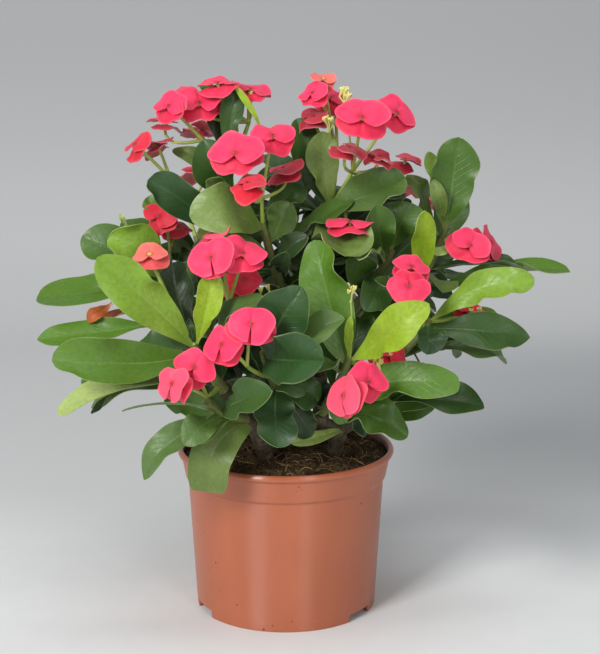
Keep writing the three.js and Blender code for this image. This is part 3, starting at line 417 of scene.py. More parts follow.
# "scarlet" and "crimson" are partly deeper reds of the bracts' own and partly painted shade, for flowers in
# shadow and shaded undersides.
BRACT_TONES = {
    "coral": (243, 52, 97),
    "pink": (246, 80, 110),
    "salmon": (238, 120, 104),
    "scarlet": (223, 36, 60),
    "crimson": (190, 40, 60),
}
FLOWER_TONES = {
    "a1": "scarlet", "a2": "crimson", "a3": "crimson", "b3": "scarlet", "b4": "crimson",
    "c3": "crimson", "c6": "crimson", "c7": "crimson", "c8": "crimson", "c9": "salmon",
    "d1": "scarlet", "d2": "scarlet", "e1": "salmon", "f3": "scarlet", "f4": "pink", "a9": "pink",
    "h1": "pink", "i1": "pink", "l1": "scarlet", "m1": "scarlet",
}
YELLOW_CUPS = ("c9", "l1", "m1", "e1")
FLATTER = {"n1": 6}  # flowers that lie flatter than their solids: how far they face the front
# Upper bracts that close more or less than by chance: degrees that their half spans at the rim.
CLOSED = {"b2": 124, "c1": 132, "f1": 175, "g1": 174, "i1": 175, "h1": 170, "f2": 140, "k2": 172, "g2": 166}
STALK_TONES = {
    "shoot": (100, 112, 56), "spray": (148, 172, 70), "flower": (174, 188, 92), "bud": (150, 166, 74),
}
CUP_TONES = {  # of the cup, its glands and its stamens
    "red": ((150, 20, 40), (206, 30, 62), (96, 12, 26)),
    "yellow": ((192, 198, 104), (232, 214, 112), (236, 214, 130)),
}
BUD_TONES = {"cup": (206, 204, 110), "gland": (240, 222, 128)}
FIBRE_TONES = ((160, 128, 82), (182, 150, 102), (122, 94, 60), (92, 68, 44))

# Flowers that fill the sprays out: the fork of the spray, then its flowers.
MORE_FLOWERS = [
    ((249, 122, 14), [
        Flower("a7", (250, 91, 18), 16, 8, 95, 0.9),
        Flower("a8", (184, 92, 26), 6, -6, 10, 0.8),
    ]),
    ((203, 140, 22), [Flower("a9", (199, 131, 36), -24, 12, 20, 0.9)]),
    ((337, 160, -2), [
        Flower("c6", (314, 119, -8), 12, -16, 10, 0.85),
        Flower("c9", (324, 81, -4), 30, -8, 80, 0.5),
    ]),
    ((352, 172, -14), [
        Flower("c7", (348, 150, -34), 6, 22, -12, 0.95),
        Flower("c8", (379, 159, -20), 12, 10, 20, 0.7),
    ]),
    ((229, 302, -62), [Flower("f4", (214, 236, -66), 4, -18, 12, 0.9)]),
]
# Young buds, each a small clump of cups: where the clump is, where its stalk starts and how many cups.
BUDS = [
    ((345, 93, -34), (352, 172, -14), 5), ((329, 121, -20), (337, 160, -2), 3),
    ((476, 313, -36), (452, 318, -30), 5), ((376, 364, -62), (380, 368, -28), 4),
    ((351, 292, -62), (350, 358, -66), 4), ((251, 93, 16), (249, 122, 14), 2),
    ((229, 95, 10), (249, 122, 14), 2), ((265, 287, -56), (229, 302, -62), 2),
]

# Small leaves between the others: foot, tip, width, how the face turns, bow and tone.
MORE_LEAVES = [
    ((261, 130, 6), (235, 86, 4), 4.2, 66, 8, 2, "yellow"),
    ((216, 102, 24), (202, 83, 26), 9, 60, 0, 1, "mid"),
    ((128, 228, 4), (120, 214, 4), 3.2, 60, 0, 1, "pale"),
    ((162, 214, 8), (146, 198, 10), 11, 50, 0, 1, "fresh"),
    ((114, 394, -60), (91, 413, -66), 5, 30, 0, 1, "dark"),
    ((345, 430, -30), (292, 443, -62), 8, 60, 0, 2, "pale"),
    ((112, 303, -8), (88, 322, -16), 9, 66, 0, 1, "dry"),
    ((222, 386, -30), (196, 338, -32), 16, 75, 0, 3, "dark"),
    ((242, 402, -26), (214, 364, -26), 17, 75, 0, 3, "dark"),
    ((454, 300, -2), (422, 274, -4), 15, 70, 0, 3, "dark"),
]
# Dry twigs and long loose thorns that show between the leaves: foot, tip and thickness.
TWIGS = [
    ((172, 309, -58), (187, 346, -60), 0.5), ((420, 364, -30), (407, 342, -24), 0.7),
    ((160, 349, -62), (187, 349, -66), 0.6), ((225, 380, -52), (262, 426, -44), 0.9),
    ((176, 322, -56), (184, 350, -60), 0.45),
]


def linear(colour):
    """A colour of 0 to 255 in the linear light that shaders work in."""
    return tuple((c / 255 / 12.92) if c < 11 else ((c / 255 + 0.055) / 1.055) ** 2.4 for c in colour)


# ---------------------------------------------------------------- small helpers


def stream(seed):
    """A repeatable stream of numbers from 0 to 1, the same as the solids were drawn with."""
    state = seed
    while True:
        state = (state * 1664525 + 1013904223) % 4294967296
        yield state / 4294967296


def mix(a, b, share):
    return a + (b - a) * share


def taper(ends, steps):
    """Radii that run evenly from one end to the other."""
    return [mix(*ends, i / steps) for i in range(steps + 1)]


def smooth(low, high, value):
    """Runs smoothly from 0 to 1 as the value goes from low to high."""
    share = min(1, max(0, (value - low) / (high - low)))
    return share * share * (3 - 2 * share)


def seen(place):
    """Where on the plant a place of the plan is."""
    column, row, depth = place
    tilt = math.radians(VIEW["down"])
    across = (column - VIEW["column"]) / VIEW["focal"]
    up = (VIEW["row"] - row) / VIEW["focal"]
    reach = (depth - VIEW["y"]) / (math.cos(tilt) + up * math.sin(tilt))
    rise = up * math.cos(tilt) - math.sin(tilt)
    return Vector((VIEW["x"] + across * reach, depth, VIEW["z"] + rise * reach))


def facing(front, right):
    """The way a face looks when it turns from straight up to the front and to the right."""
    f, r = math.radians(front), math.radians(right)
    return Vector((math.sin(r), -math.cos(r) * math.sin(f), math.cos(r) * math.cos(f)))


def square_to(vector, axis):
    """The part of a vector at right angles to an axis, of length 1."""
    return (vector - axis * vector.dot(axis)).normalized()


class Bend:
    """A curve from one place to another that leans towards a middle one."""

    STEPS = 200

    def __init__(self, start, middle, end):
        self.places = (start, middle, end)
        steps = [self.at(i / self.STEPS) for i in range(self.STEPS + 1)]
        self.lengths = [0]
        for a, b in zip(steps, steps[1:]):
            self.lengths.append(self.lengths[-1] + (b - a).length)
        self.length = self.lengths[-1]

    def at(self, t):
        a, b, c = self.places
        return a * (1 - t) ** 2 + b * 2 * t * (1 - t) + c * t * t

    def ahead(self, t):
        a, b, c = self.places
        return ((b - a) * (1 - t) + (c - b) * t).normalized()

    def even(self, share):
        """The curve's own value at a share of its length."""
        goal = share * self.length
        for i, (low, high) in enumerate(zip(self.lengths, self.lengths[1:])):
            if goal <= high:
                return (i + (goal - low) / (high - low)) / self.STEPS
        return 1

    def row(self, steps):
        """Places along the curve, evenly apart."""
        return [self.at(self.even(i / steps)) for i in range(steps + 1)]


def blank(*marks):
    """A new mesh to model in, and the marks on its vertices that its finish reads."""
    bm = bmesh.new()
    kinds = {"blade": bm.verts.layers.float_vector, "tone": bm.verts.layers.float_color}
    return [bm, *(kinds[mark].new(mark) for mark in marks)]


def paint(verts, tone, colour):
    for v in verts:
        v[tone] = (*linear(colour), 1)


def sheet(bm, across, along):
    """A flat grid as rows of vertices, each row from left to right."""
    made = bmesh.ops.create_grid(bm, x_segments=across, y_segments=along, size=1)["verts"]
    made = sorted(made, key=lambda v: (round(v.co.y, 5), v.co.x))
    return [made[i:i + across + 1] for i in range(0, len(made), across + 1)]


def thicken(bm, rows, thick, mark):
    """Gives a shaped sheet its thickness and marks the vertices of its underside."""
    before = set(bm.verts)
    faces = list({f for row in rows for v in row for f in v.link_faces})
    bm.normal_update()
    bmesh.ops.solidify(bm, geom=faces, thickness=thick * MM)
    under = [v for v in bm.verts if v not in before]
    for v in under:
        value = v[mark].copy()
        value.z = 1
        v[mark] = value
    return under


def tube(bm, centres, radii, sides, rough=0, seed=0):
    """A round stalk through a row of centres, closed at both ends, and uneven by a share of its radius."""
    centres = [centres[0], *centres, centres[-1]]
    radii = [0.01, *radii, 0.01]
    rows = sheet(bm, sides, len(centres) - 1)
    ahead = (centres[2] - centres[1]).normalized()
    normal = square_to(Vector((0.31, 0.83, 0.46)), ahead)  # any way but the stalk's own
    for i, row in enumerate(rows):
        low, high = max(1, i - 1), min(len(centres) - 2, i + 1)
        ahead = (centres[high] - centres[low]).normalized()
        normal = square_to(normal, ahead)
        other = ahead.cross(normal)
        for k, v in enumerate(row):
            turn = math.tau * k / sides
            out = normal * math.cos(turn) + other * math.sin(turn)
            reach = radii[i]
            if rough:
                place = (centres[i] + out * reach) * 0.16 + Vector((seed, 0, 0))
                reach *= 1 + rough * noise.noise(place)
            v.co = (centres[i] + out * reach) * MM
    made = [v for row in rows for v in row]
    bmesh.ops.remove_doubles(bm, verts=made, dist=0.02 * MM)
    return [v for v in made if v.is_valid]


def show(bm, name, material, sharp):
    """Puts what was modelled into the scene, with edges that turn by more than sharp kept hard."""
    bm.normal_update()
    for face in bm.faces:
        face.smooth = True
    for edge in bm.edges:
        edge.smooth = edge.calc_face_angle(0) < sharp
    mesh = bpy.data.meshes.new(name)
    bm.to_mesh(mesh)
    bm.free()
    mesh.materials.append(material)
    return put(name, mesh)


def put(name, data):
    thing = bpy.data.objects.new(name, data)
    bpy.context.scene.collection.objects.link(thing)
    return thing


def finish_piece(bm, name, material, nodes=(), sharp=0.9):
    """Makes a piece of what was modelled, rides it on the part and hides the solids that it stands for."""
    piece = show(bm, name, material, sharp)
    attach(piece, "root")
    if nodes:
        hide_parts(*nodes)


# ---------------------------------------------------------------- finishes


class Finish:
    """A material and short ways to add and join its nodes."""

    def __init__(self, name, roughness, specular=0.5):
        self.material = bpy.data.materials.new(name)
        self.material.use_nodes = True
        self.tree = self.material.node_tree
        self.shader = self.tree.nodes["Principled BSDF"]
        self.shader.inputs["Roughness"].default_value = roughness
        self.shader.inputs["Specular IOR Level"].default_value = specular

    def add(self, kind, **settings):
        node = self.tree.nodes.new(kind)
        for key, value in settings.items():
            setattr(node, key, value)
        return node

    def join(self, value, socket):
        if isinstance(value, bpy.types.NodeSocket):
            self.tree.links.new(value, socket)
        elif value is not None:
            socket.default_value = value

    def sum(self, kind, a, b=None):
        node = self.add("ShaderNodeMath", operation=kind)
        self.join(a, node.inputs[0])
        self.join(b, node.inputs[1])
        return node.outputs[0]

    def plus(self, a, b):
        return self.sum("ADD", a, b)

    def times(self, a, b):
        return self.sum("MULTIPLY", a, b)

    def band(self, value, low, high, start=0.0, end=1.0):
        """Runs smoothly from start to end as the value goes from low to high."""
        node = self.add("ShaderNodeMapRange", interpolation_type="SMOOTHSTEP")
        for socket, given in zip(node.inputs, (value, low, high, start, end)):
            self.join(given, socket)
        return node.outputs[0]

    def blend(self, share, a, b, how="MIX"):
        node = self.add("ShaderNodeMix", data_type="RGBA", blend_type=how)
        self.join(share, node.inputs[0])
        for value, socket in ((a, node.inputs[6]), (b, node.inputs[7])):
            self.join((*value, 1) if isinstance(value, (tuple, list)) else value, socket)
        return node.outputs[2]

    def place(self):
        return self.add("ShaderNodeTexCoord").outputs["Object"]

    def parts(self, vector):
        node = self.add("ShaderNodeSeparateXYZ")
        self.join(vector, node.inputs[0])
        return node.outputs

    def stretch(self, scale):
        node = self.add("ShaderNodeMapping")
        node.inputs["Scale"].default_value = scale
        self.join(self.place(), node.inputs["Vector"])
        return node.outputs[0]

    def grain(self, scale, detail=3.0, rough=0.5, where=None):
        node = self.add("ShaderNodeTexNoise")
        self.join(where or self.place(), node.inputs["Vector"])
        for key, value in (("Scale", scale), ("Detail", detail), ("Roughness", rough)):
            node.inputs[key].default_value = value
        return node.outputs[0]

    def cells(self, scale):
        node = self.add("ShaderNodeTexVoronoi")
        self.join(self.place(), node.inputs["Vector"])
        node.inputs["Scale"].default_value = scale
        return node.outputs["Distance"]

    def mark(self, name):
        """A value painted on the piece's own vertices: as a colour, and as its three parts."""
        node = self.add("ShaderNodeAttribute", attribute_name=name)
        return node.outputs["Color"], self.parts(node.outputs["Vector"])

    def relief(self, height, strength, deep):
        node = self.add("ShaderNodeBump")
        node.inputs["Strength"].default_value = strength
        node.inputs["Distance"].default_value = deep * MM
        self.join(height, node.inputs["Height"])
        self.join(node.outputs[0], self.shader.inputs["Normal"])

    def colour(self, value):
        self.join(value, self.shader.inputs["Base Color"])

    def roughness(self, value):
        self.join(value, self.shader.inputs["Roughness"])

    def glow(self, weight, radius, scale):
        """Light that enters the surface and comes out nearby."""
        for name, value in (("Weight", weight), ("Radius", radius), ("Scale", scale)):
            self.shader.inputs["Subsurface " + name].default_value = value


def leaf_finish():
    """A semi-gloss leaf: pale midrib, faint side veins, mottling, thin margin and dull underside."""
    f = Finish("leaf_blade", 0.42, 0.4)
    tone, _ = f.mark("tone")
    _, (across, along, under) = f.mark("blade")
    edge = f.sum("ABSOLUTE", across)
    rib = f.band(edge, 0.012, 0.07, 1.0, 0.0)
    rib = f.times(rib, f.band(along, 0.25, 0.9, 1.0, 0.0))
    sweep = f.sum("SUBTRACT", f.times(along, 12.0), f.times(edge, 2.6))
    vein = f.sum("ABSOLUTE", f.sum("SUBTRACT", f.sum("FRACT", sweep), 0.5))
    vein = f.band(vein, 0.0, 0.09, 1.0, 0.0)
    vein = f.times(vein, f.band(edge, 0.5, 0.95, 1.0, 0.0))
    broad = f.grain(55, 3.0)
    fine = f.grain(420, 3.0, 0.6)
    base = f.blend(f.band(broad, 0.34, 0.68, 0.0, 0.34), tone, (0.30, 0.42, 0.10), "SOFT_LIGHT")
    base = f.blend(f.band(fine, 0.35, 0.75, 0.0, 0.22), base, (0.02, 0.05, 0.01))
    base = f.blend(f.times(vein, 0.035), base, (0.50, 0.60, 0.28))
    base = f.blend(f.times(rib, 0.17), base, (0.48, 0.58, 0.26))
    base = f.blend(f.band(along, 0.0, 0.14, 0.5, 0.0), base, (0.40, 0.44, 0.12))
    base = f.blend(f.band(edge, 0.965, 1.0, 0.0, 0.22), base, (0.46, 0.46, 0.2))
    dull = f.blend(0.4, base, (0.26, 0.34, 0.17))
    base = f.blend(under, base, dull)
    f.colour(base)
    f.roughness(f.band(fine, 0.3, 0.7, 0.33, 0.47))
    height = f.plus(f.times(vein, -0.5), f.times(fine, 0.35))
    height = f.plus(height, f.times(broad, 0.9))
    f.relief(height, 0.45, 0.5)
    f.glow(0.06, (0.5, 1.0, 0.2), 2 * MM)
    return f.material


def bract_finish():
    """A velvety bract: fine veins that fan from its foot, painted shade that darkens its foot, a painted
    highlight along its rim and a paler underside.
    """
    f = Finish("bract_velvet", 0.55, 0.3)
    tone, _ = f.mark("tone")
    _, (around, out, under) = f.mark("blade")
    fan = f.sum("SINE", f.times(around, 46.0))
    vein = f.times(f.band(fan, 0.55, 1.0), f.band(out, 0.15, 0.9, 1.0, 0.2))
    broad = f.grain(120, 2.0)
    fine = f.grain(900, 2.0, 0.6)
    base = f.blend(f.band(broad, 0.35, 0.7, 0.0, 0.25), tone, (0.84, 0.06, 0.10))
    base = f.blend(f.times(vein, 0.22), base, (0.50, 0.01, 0.04))
    # Painted shade: darker towards the foot of the bract, round the cup.
    base = f.blend(f.band(out, 0.02, 0.34, 0.6, 0.0), base, (0.42, 0.01, 0.03))
    # Painted highlight: a paler rim.
    base = f.blend(f.band(out, 0.86, 1.0, 0.0, 0.22), base, (0.95, 0.22, 0.27))
    dull = f.blend(0.6, base, (0.74, 0.27, 0.31))
    f.colour(f.blend(under, base, dull))
    f.relief(f.plus(f.times(vein, -0.6), fine), 0.35, 0.25)
    f.glow(0.1, (1.0, 0.25, 0.2), 1.5 * MM)
    f.shader.inputs["Sheen Weight"].default_value = 0.12
    f.shader.inputs["Sheen Roughness"].default_value = 0.5
    return f.material


def stalk_finish():
    """Green stem and flower stalk, flushed with brown here and there."""
    f = Finish("green_stalk", 0.48, 0.4)
    tone, _ = f.mark("tone")
    broad = f.grain(90, 3.0)
    fine = f.grain(700, 3.0, 0.6)
    base = f.blend(f.band(broad, 0.45, 0.75, 0.0, 0.38), tone, (0.22, 0.10, 0.04))
    base = f.blend(f.band(fine, 0.45, 0.8, 0.0, 0.3), base, (0.42, 0.44, 0.16))
    f.colour(base)
    f.relief(f.plus(f.times(broad, 0.6), fine), 0.4, 0.3)
    return f.material


def bark_finish():
    """Grey-brown bark, cracked along the stem and greener where it is young; its greys are kept dark, partly
    the bark's own colour and partly painted shade for canes deep in the crown.
    """
    f = Finish("grey_bark", 0.82, 0.3)
    long_grain = f.grain(260, 5.0, 0.65, f.stretch((1.0, 1.0, 0.3)))
    spots = f.cells(420)
    # Dark greys: partly painted shade for the canes in the crown's shadow.
    base = f.blend(f.band(long_grain, 0.32, 0.7), linear((62, 52, 40)), linear((112, 100, 80)))
    base = f.blend(f.band(spots, 0.0, 0.35, 0.45, 0.0), base, linear((62, 50, 40)))
    base = f.blend(f.band(f.grain(45, 2.0), 0.45, 0.65, 0.0, 0.35), base, linear((96, 102, 58)))
    f.colour(base)
    f.roughness(f.band(long_grain, 0.3, 0.7, 0.72, 0.92))
    f.relief(f.plus(long_grain, f.times(spots, 0.5)), 0.9, 0.8)
    return f.material


def spine_finish():
    """Dark brown spines with a greyer foot."""
    f = Finish("brown_spine", 0.5, 0.4)
    grain = f.grain(600, 3.0)
    f.colour(f.blend(f.band(grain, 0.35, 0.7), linear((58, 40, 32)), linear((122, 98, 78))))
    f.relief(grain, 0.4, 0.2)
    return f.material


def soil_finish():
    """Damp peat: dark brown grains with lighter crumbs."""
    f = Finish("damp_peat", 0.95, 0.2)
    broad = f.grain(70, 4.0, 0.6)
    fine = f.grain(900, 5.0, 0.7)
    crumb = f.cells(650)
    base = f.blend(f.band(broad, 0.3, 0.7), linear((46, 35, 24)), linear((100, 80, 54)))
    base = f.blend(f.band(fine, 0.5, 0.75, 0.0, 0.6), base, linear((146, 120, 84)))
    base = f.blend(f.band(crumb, 0.1, 0.5, 0.4, 0.0), base, linear((22, 15, 10)))
    f.colour(base)
    f.relief(f.plus(fine, f.times(crumb, 0.7)), 1.0, 1.2)
    return f.material


def fibre_finish():
    """Dry tan peat fibre and chaff."""
    f = Finish("tan_fibre", 0.85, 0.25)
    grain = f.grain(800, 3.0)
    tone, _ = f.mark("tone")
    f.colour(f.blend(f.band(grain, 0.35, 0.7, 0.0, 0.4), tone, linear((70, 50, 34))))
    f.relief(grain, 0.5, 0.2)
    return f.material


def pot_finish():
    """Satin terracotta-coloured plastic with flow lines, dust near the foot and fine scuffs."""
    f = Finish("terracotta_plastic", 0.36, 0.8)
    flow = f.grain(34, 2.0, 0.5, f.stretch((1.0, 1.0, 0.12)))
    broad = f.grain(16, 2.0)
    fine = f.grain(1500, 2.0, 0.6)
    scuff = f.grain(240, 5.0, 0.75, f.stretch((1.0, 1.0, 3.5)))
    height = f.parts(f.place())[2]
    base = f.blend(f.band(flow, 0.3, 0.7), linear((168, 88, 54)), linear((180, 99, 65)))
    base = f.blend(f.band(broad, 0.4, 0.7, 0.0, 0.3), base, linear((157, 81, 51)))
    dust = f.times(f.band(height, 0.0, 0.02, 0.2, 0.0), f.band(scuff, 0.5, 0.75))
    base = f.blend(dust, base, linear((196, 150, 122)))
    base = f.blend(f.band(scuff, 0.66, 0.78, 0.0, 0.25), base, linear((208, 150, 118)))
    f.colour(base)
    f.shader.inputs["Anisotropic"].default_value = 0.97
    f.shader.inputs["Anisotropic Rotation"].default_value = 0.25
    around = f.add("ShaderNodeTangent", direction_type="RADIAL", axis="Z")
    f.join(around.outputs[0], f.shader.inputs["Tangent"])
    f.roughness(f.plus(f.band(flow, 0.3, 0.7, 0.3, 0.38), f.times(dust, 0.3)))
    f.relief(f.plus(f.times(flow, 0.8), f.times(fine, 0.25)), 0.25, 0.25)
    return f.material


def gland_finish():
    """The small cup and glands at the heart of a flower."""
    f = Finish("waxy_gland", 0.4, 0.5)
    tone, _ = f.mark("tone")
    grain = f.grain(1500, 2.0)
    f.colour(f.blend(f.band(grain, 0.4, 0.7, 0.0, 0.3), tone, (0.6, 0.55, 0.3)))
    f.relief(grain, 0.3, 0.15)
    return f.material


# ---------------------------------------------------------------- the plant's routes


def sagging(start, end, sag):
    """A curve whose middle hangs by a share of its length."""
    middle = (start + end) / 2
    middle.z -= (end - start).length * sag
    return Bend(start, middle, end)


def shoot_route(name):
    return sagging(seen(SHOOTS[name]["foot"]), seen(SHOOTS[name]["tip"]), SHOOT["sag"])


def trunk_route(cane):
    x, y = cane["root"]
    foot = Vector((x, y, SOIL["edge"] + SOIL["mound"] - WOOD["sunk"]))
    return Bend(foot, Vector((x, y, (foot.z + cane["fork"][2]) / 2)), Vector(cane["fork"]))


def branch_route(cane, name):
    fork, route = Vector(cane["fork"]), shoot_route(name)
    start = route.ahead(0)
    end = route.places[0] - start * GAP
    return Bend(fork, end - start * WOOD["swing"] * (end - fork).length, end)


# ---------------------------------------------------------------- where the solids stand


class Corners:
    """The corners of a solid, to tell which of a few possible places it was built at."""

    def __init__(self, node):
        places = [v.co.copy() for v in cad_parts[node].data.vertices]
        self.tree = kdtree.KDTree(len(places))
        for i, place in enumerate(places):
            self.tree.insert(place, i)
        self.tree.balance()

    def hold(self, points, near=0.06):
        """Whether the solid has a corner at each of the points."""
        return all(self.tree.find(p * MM)[2] < near * MM for p in points)


def end_corners(leaf, form, reach, fold=0.0, wave=0.0):
    """The corners at the tip of a solid blade."""
    chord = leaf["tip"] - leaf["base"]
    along = chord.normalized()
    up = square_to(leaf["face"], along)
    side = up.cross(along)
    normal = (up + along * (leaf["bow"] * 4 / chord.length)).normalized()
    corners = []
    for sign in (-1, 1):
        ripple = wave * math.sin(LEAF["ripple"] + leaf["phase"] + sign) * reach / (leaf["wide"] / 2)
        edge = leaf["tip"] + side * sign * reach
        edge += normal * (reach * math.tan(math.radians(fold)) + ripple)
        corners += [edge + normal * form["thick"] / 2, edge - normal * form["thick"] / 2]
    return corners


def leaf_corners(leaf):
    reach = max(LEAF["stalk"], leaf["wide"] * LEAF["end"]) / 2
    return end_corners(leaf, LEAF, reach, LEAF["fold"], LEAF["wave"])


def deeper(place, shift):
    column, row, depth = place
    return seen((column, row, depth + shift))


def planned_leaf(route, row, index, shift):
    share, place, wide, front, right, bow, tone = row
    tip = deeper(place, shift)
    centre, ahead = route.at(share), route.ahead(share)
    out = square_to(tip - centre, ahead)
    base = centre + out * mix(SHOOT["foot"], SHOOT["tip"], share) * LEAF["sunk"]
    return {
        "base": base, "tip": tip, "face": facing(front, right), "wide": wide, "bow": bow,
        "phase": math.radians(GOLDEN * index), "tone": tone,
    }


def filler_leaf(route, draw, index, shift):
    base, ahead = route.at(draw["along"]), route.ahead(draw["along"])
    azimuth = math.radians(GOLDEN * index + draw["turn"] + shift)
    across = square_to(Vector((math.cos(azimuth), math.sin(azimuth), 0)), ahead)
    way = (across + ahead * draw["rise"]).normalized()
    return {
        "base": base, "tip": base + way * draw["long"], "face": ahead.copy(), "wide": draw["wide"],
        "bow": draw["bow"], "phase": math.radians(GOLDEN * index), "tone": None,
    }


def first_held(corners, tries):
    """The first of a few possible leaves that the solid has, as a list, which may be empty."""
    return next(([leaf] for leaf in tries if corners.hold(leaf_corners(leaf))), [])


def leaves_of(name, seed):
    """Every leaf of a shoot that its solid has, the planned ones first."""
    corners, route = Corners("shoot_" + name), shoot_route(name)
    found = []
    for index, row in enumerate(LEAVES.get(name, ())):
        look = LEAF_LOOKS.get((name, index), {})
        held = first_held(corners, (planned_leaf(route, row, index, shift) for shift in DEPTH_SHIFTS))
        found += [leaf | {"look": look} for leaf in held]
    draws = stream(seed)
    for index in range(SHOOTS[name]["fill"]):
        draw = {size: mix(low, high, next(draws)) for size, (low, high) in FILLER.items()}
        found += first_held(corners, (filler_leaf(route, draw, index, shift) for shift in TURN_SHIFTS))
    return found


def pair_way(flower):
    """Which way the upper bract of a pair points."""
    face = facing(flower.front, flower.right)
    right = square_to(Vector((1, 0, 0)), face)
    turn = math.radians(flower.pair)
    return right * math.cos(turn) + face.cross(right) * math.sin(turn)


def flower_place(flower):
    """Where the solid of a flower was built."""
    corners, way = Corners("bloom_" + flower.name), pair_way(flower)
    face = facing(flower.front, flower.right)
    for shift in DEPTH_SHIFTS:
        place = deeper(flower.place, shift)
        base = place + face * UPPER
        bract = {
            "base": base, "tip": base + way * BRACT["long"] * flower.size, "face": face,
            "wide": BRACT["wide"] * flower.size, "bow": BRACT["bow"], "phase": 0,
        }
        if corners.hold(end_corners(bract, BRACT, bract["wide"] * BRACT["end"] / 2)):
            return place
    raise ValueError("no solid for flower " + flower.name)


# ---------------------------------------------------------------- leaves


def leaf_look(rng):
    """How a leaf differs from its neighbours: outline, bends, waves of its edge, and dents."""
    return {
        "swell": rng.uniform(1.6, 2.2), "blunt": rng.uniform(0.46, 0.64),
        "left": rng.uniform(0.92, 1.05), "right": rng.uniform(0.92, 1.05),
        "twist": rng.uniform(-0.4, 0.4), "sway": rng.uniform(-0.04, 0.04),
        "curl": rng.uniform(0.2, 1.0), "wave": rng.uniform(1.2, 3.0), "beat": rng.uniform(7, 12),
        "roll": rng.uniform(-2.2, 2.2), "nod": rng.uniform(0, 4.5), "seed": rng.uniform(0, 90),
        "fold": rng.uniform(7, 19), "slim": 1, "skew": 0, "dents": [
            (rng.choice((-1, 1)), rng.uniform(0.42, 0.92), rng.uniform(0.04, 0.28), rng.uniform(0.05, 0.12))
            for _ in range(3)],
    }


def leaf_point(leaf, look, share, across):
    """A place on the upper face of a leaf, from its foot to its tip and from edge to edge."""
    chord = leaf["tip"] - leaf["base"]
    along = chord.normalized()
    up = square_to(leaf["face"], along)
    side = up.cross(along)
    # How the midrib bows, rolls and nods, and how the blade twists about it.
    lift = leaf["bow"] * 4 * share * (1 - share) + look["roll"] * math.sin(math.tau * share)
    lift -= look["nod"] * smooth(0.62, 1.0, share) ** 2 - look["nod"] * 0.5 * smooth(0.3, 1.0, share)
    slope = leaf["bow"] * 4 * (1 - 2 * share) / chord.length
    normal = (up - along * slope).normalized()
    turn = Matrix.Rotation(look["twist"] * (share - 0.25), 3, along)
    normal, side = turn @ normal, turn @ side
    # How far the edge lies from the midrib.
    swelling = max(0.0, math.sin(math.pi * share ** look["swell"])) ** look["blunt"]
    least = LEAF["stalk"] / 2 if share < 0.8 else 0.15
    reach = max(least, leaf["wide"] * look["slim"] * swelling / 2)
    reach *= look["left"] if across < 0 else look["right"]
    edge, sign = abs(across), 1 if across > 0 else -1
    reach *= 1 + 0.08 * noise.noise(Vector((share * 3.4, sign * 2, look["seed"]))) * min(1, share * 3)
    # How the blade folds up, waves and dents towards its edge.
    wave = look["wave"] * math.sin(look["beat"] * share + leaf["phase"] + sign * 1.1)
    wave += 0.8 * noise.noise(Vector((share * 6, across * 1.5, look["seed"] + 7)))
    wave *= smooth(0.12, 0.4, share) * min(1, reach / 9)
    rise = reach * math.tan(math.radians(look["fold"])) * edge * (1.25 - 0.6 * look["curl"] * edge)
    rise += wave * edge * edge
    for on, at, deep, long in look["dents"]:
        if on == sign:
            fade = deep * math.exp(-(((share - at) / long) ** 2))
            rise += reach * 1.5 * fade * edge ** 3
            reach *= 1 - fade
    sway = look["sway"] * chord.length * math.sin(math.pi * share)
    centre = leaf["base"] + chord * share + up * lift + side * sway
    centre += along * look["skew"] * across * smooth(0.5, 1.0, share) * min(1, reach / 6)
    return centre + side * reach * across + normal * (rise + 0.25), normal


def grow_leaf(bm, leaf, rng, blade, tone):
    """Bends a sheet into a leaf, and raises its rib and margin below."""
    look = leaf_look(rng) | leaf.get("look", {})
    rows = sheet(bm, BLADE["across"], BLADE["along"])
    shade = rng.uniform(0.9, 1.1)
    colour = [c * shade for c in linear(LEAF_TONES[leaf["tone"]])]
    for row in rows:
        share = 1 - (1 - (row[0].co.y + 1) / 2) ** 1.3
        for v in row:
            u = -math.copysign(abs(v.co.x) ** 1.25, v.co.x)
            v[blade] = (u, share, 0)
            v[tone] = (*colour, 1)
            v.co = leaf_point(leaf, look, share, u)[0] * MM
    for v in thicken(bm, rows, BLADE["thick"], blade):
        u, share, _ = v[blade]
        if abs(u) < 0.02:
            v.co -= leaf_point(leaf, look, share, 0)[1] * mix(*BLADE["rib"], share) * MM
        elif abs(u) > 0.9:
            v.co += leaf_point(leaf, look, share, u)[1] * BLADE["margin"] * MM


def spots_of(leaf):
    """A few places spread over a leaf, to keep others clear of it."""
    chord = leaf["tip"] - leaf["base"]
    along = chord.normalized()
    up = square_to(leaf["face"], along)
    side = up.cross(along) * leaf["wide"] * 0.36
    spots = []
    for share in (0.35, 0.55, 0.75, 0.95):
        centre = leaf["base"] + chord * share + up * leaf["bow"] * 4 * share * (1 - share)
        spots += [centre - side, centre, centre + side]
    return spots


class Crowd:
    """What stands in the crown already, so that inner leaves find room between it."""

    def __init__(self, spots):
        self.cells = {}
        self.add(spots)

    def cell(self, spot):
        return tuple(int(c // INNER["clear"]) for c in spot)

    def add(self, spots):
        for spot in spots:
            self.cells.setdefault(self.cell(spot), []).append(spot)

    def clear(self, spots):
        for spot in spots:
            x, y, z = self.cell(spot)
            for i in range(27):
                near = (x + i % 3 - 1, y + i // 3 % 3 - 1, z + i // 9 - 1)
                if any((spot - other).length < INNER["clear"] for other in self.cells.get(near, ())):
                    return False
        return True


def inside_crown(spot):
    away = [(a - b) / c for a, b, c in zip(spot, INNER["middle"], INNER["reach"])]
    above = spot.z > POT["height"] + INNER["above"]
    return Vector(away).length < 1 and above and spot.y > INNER["front"]


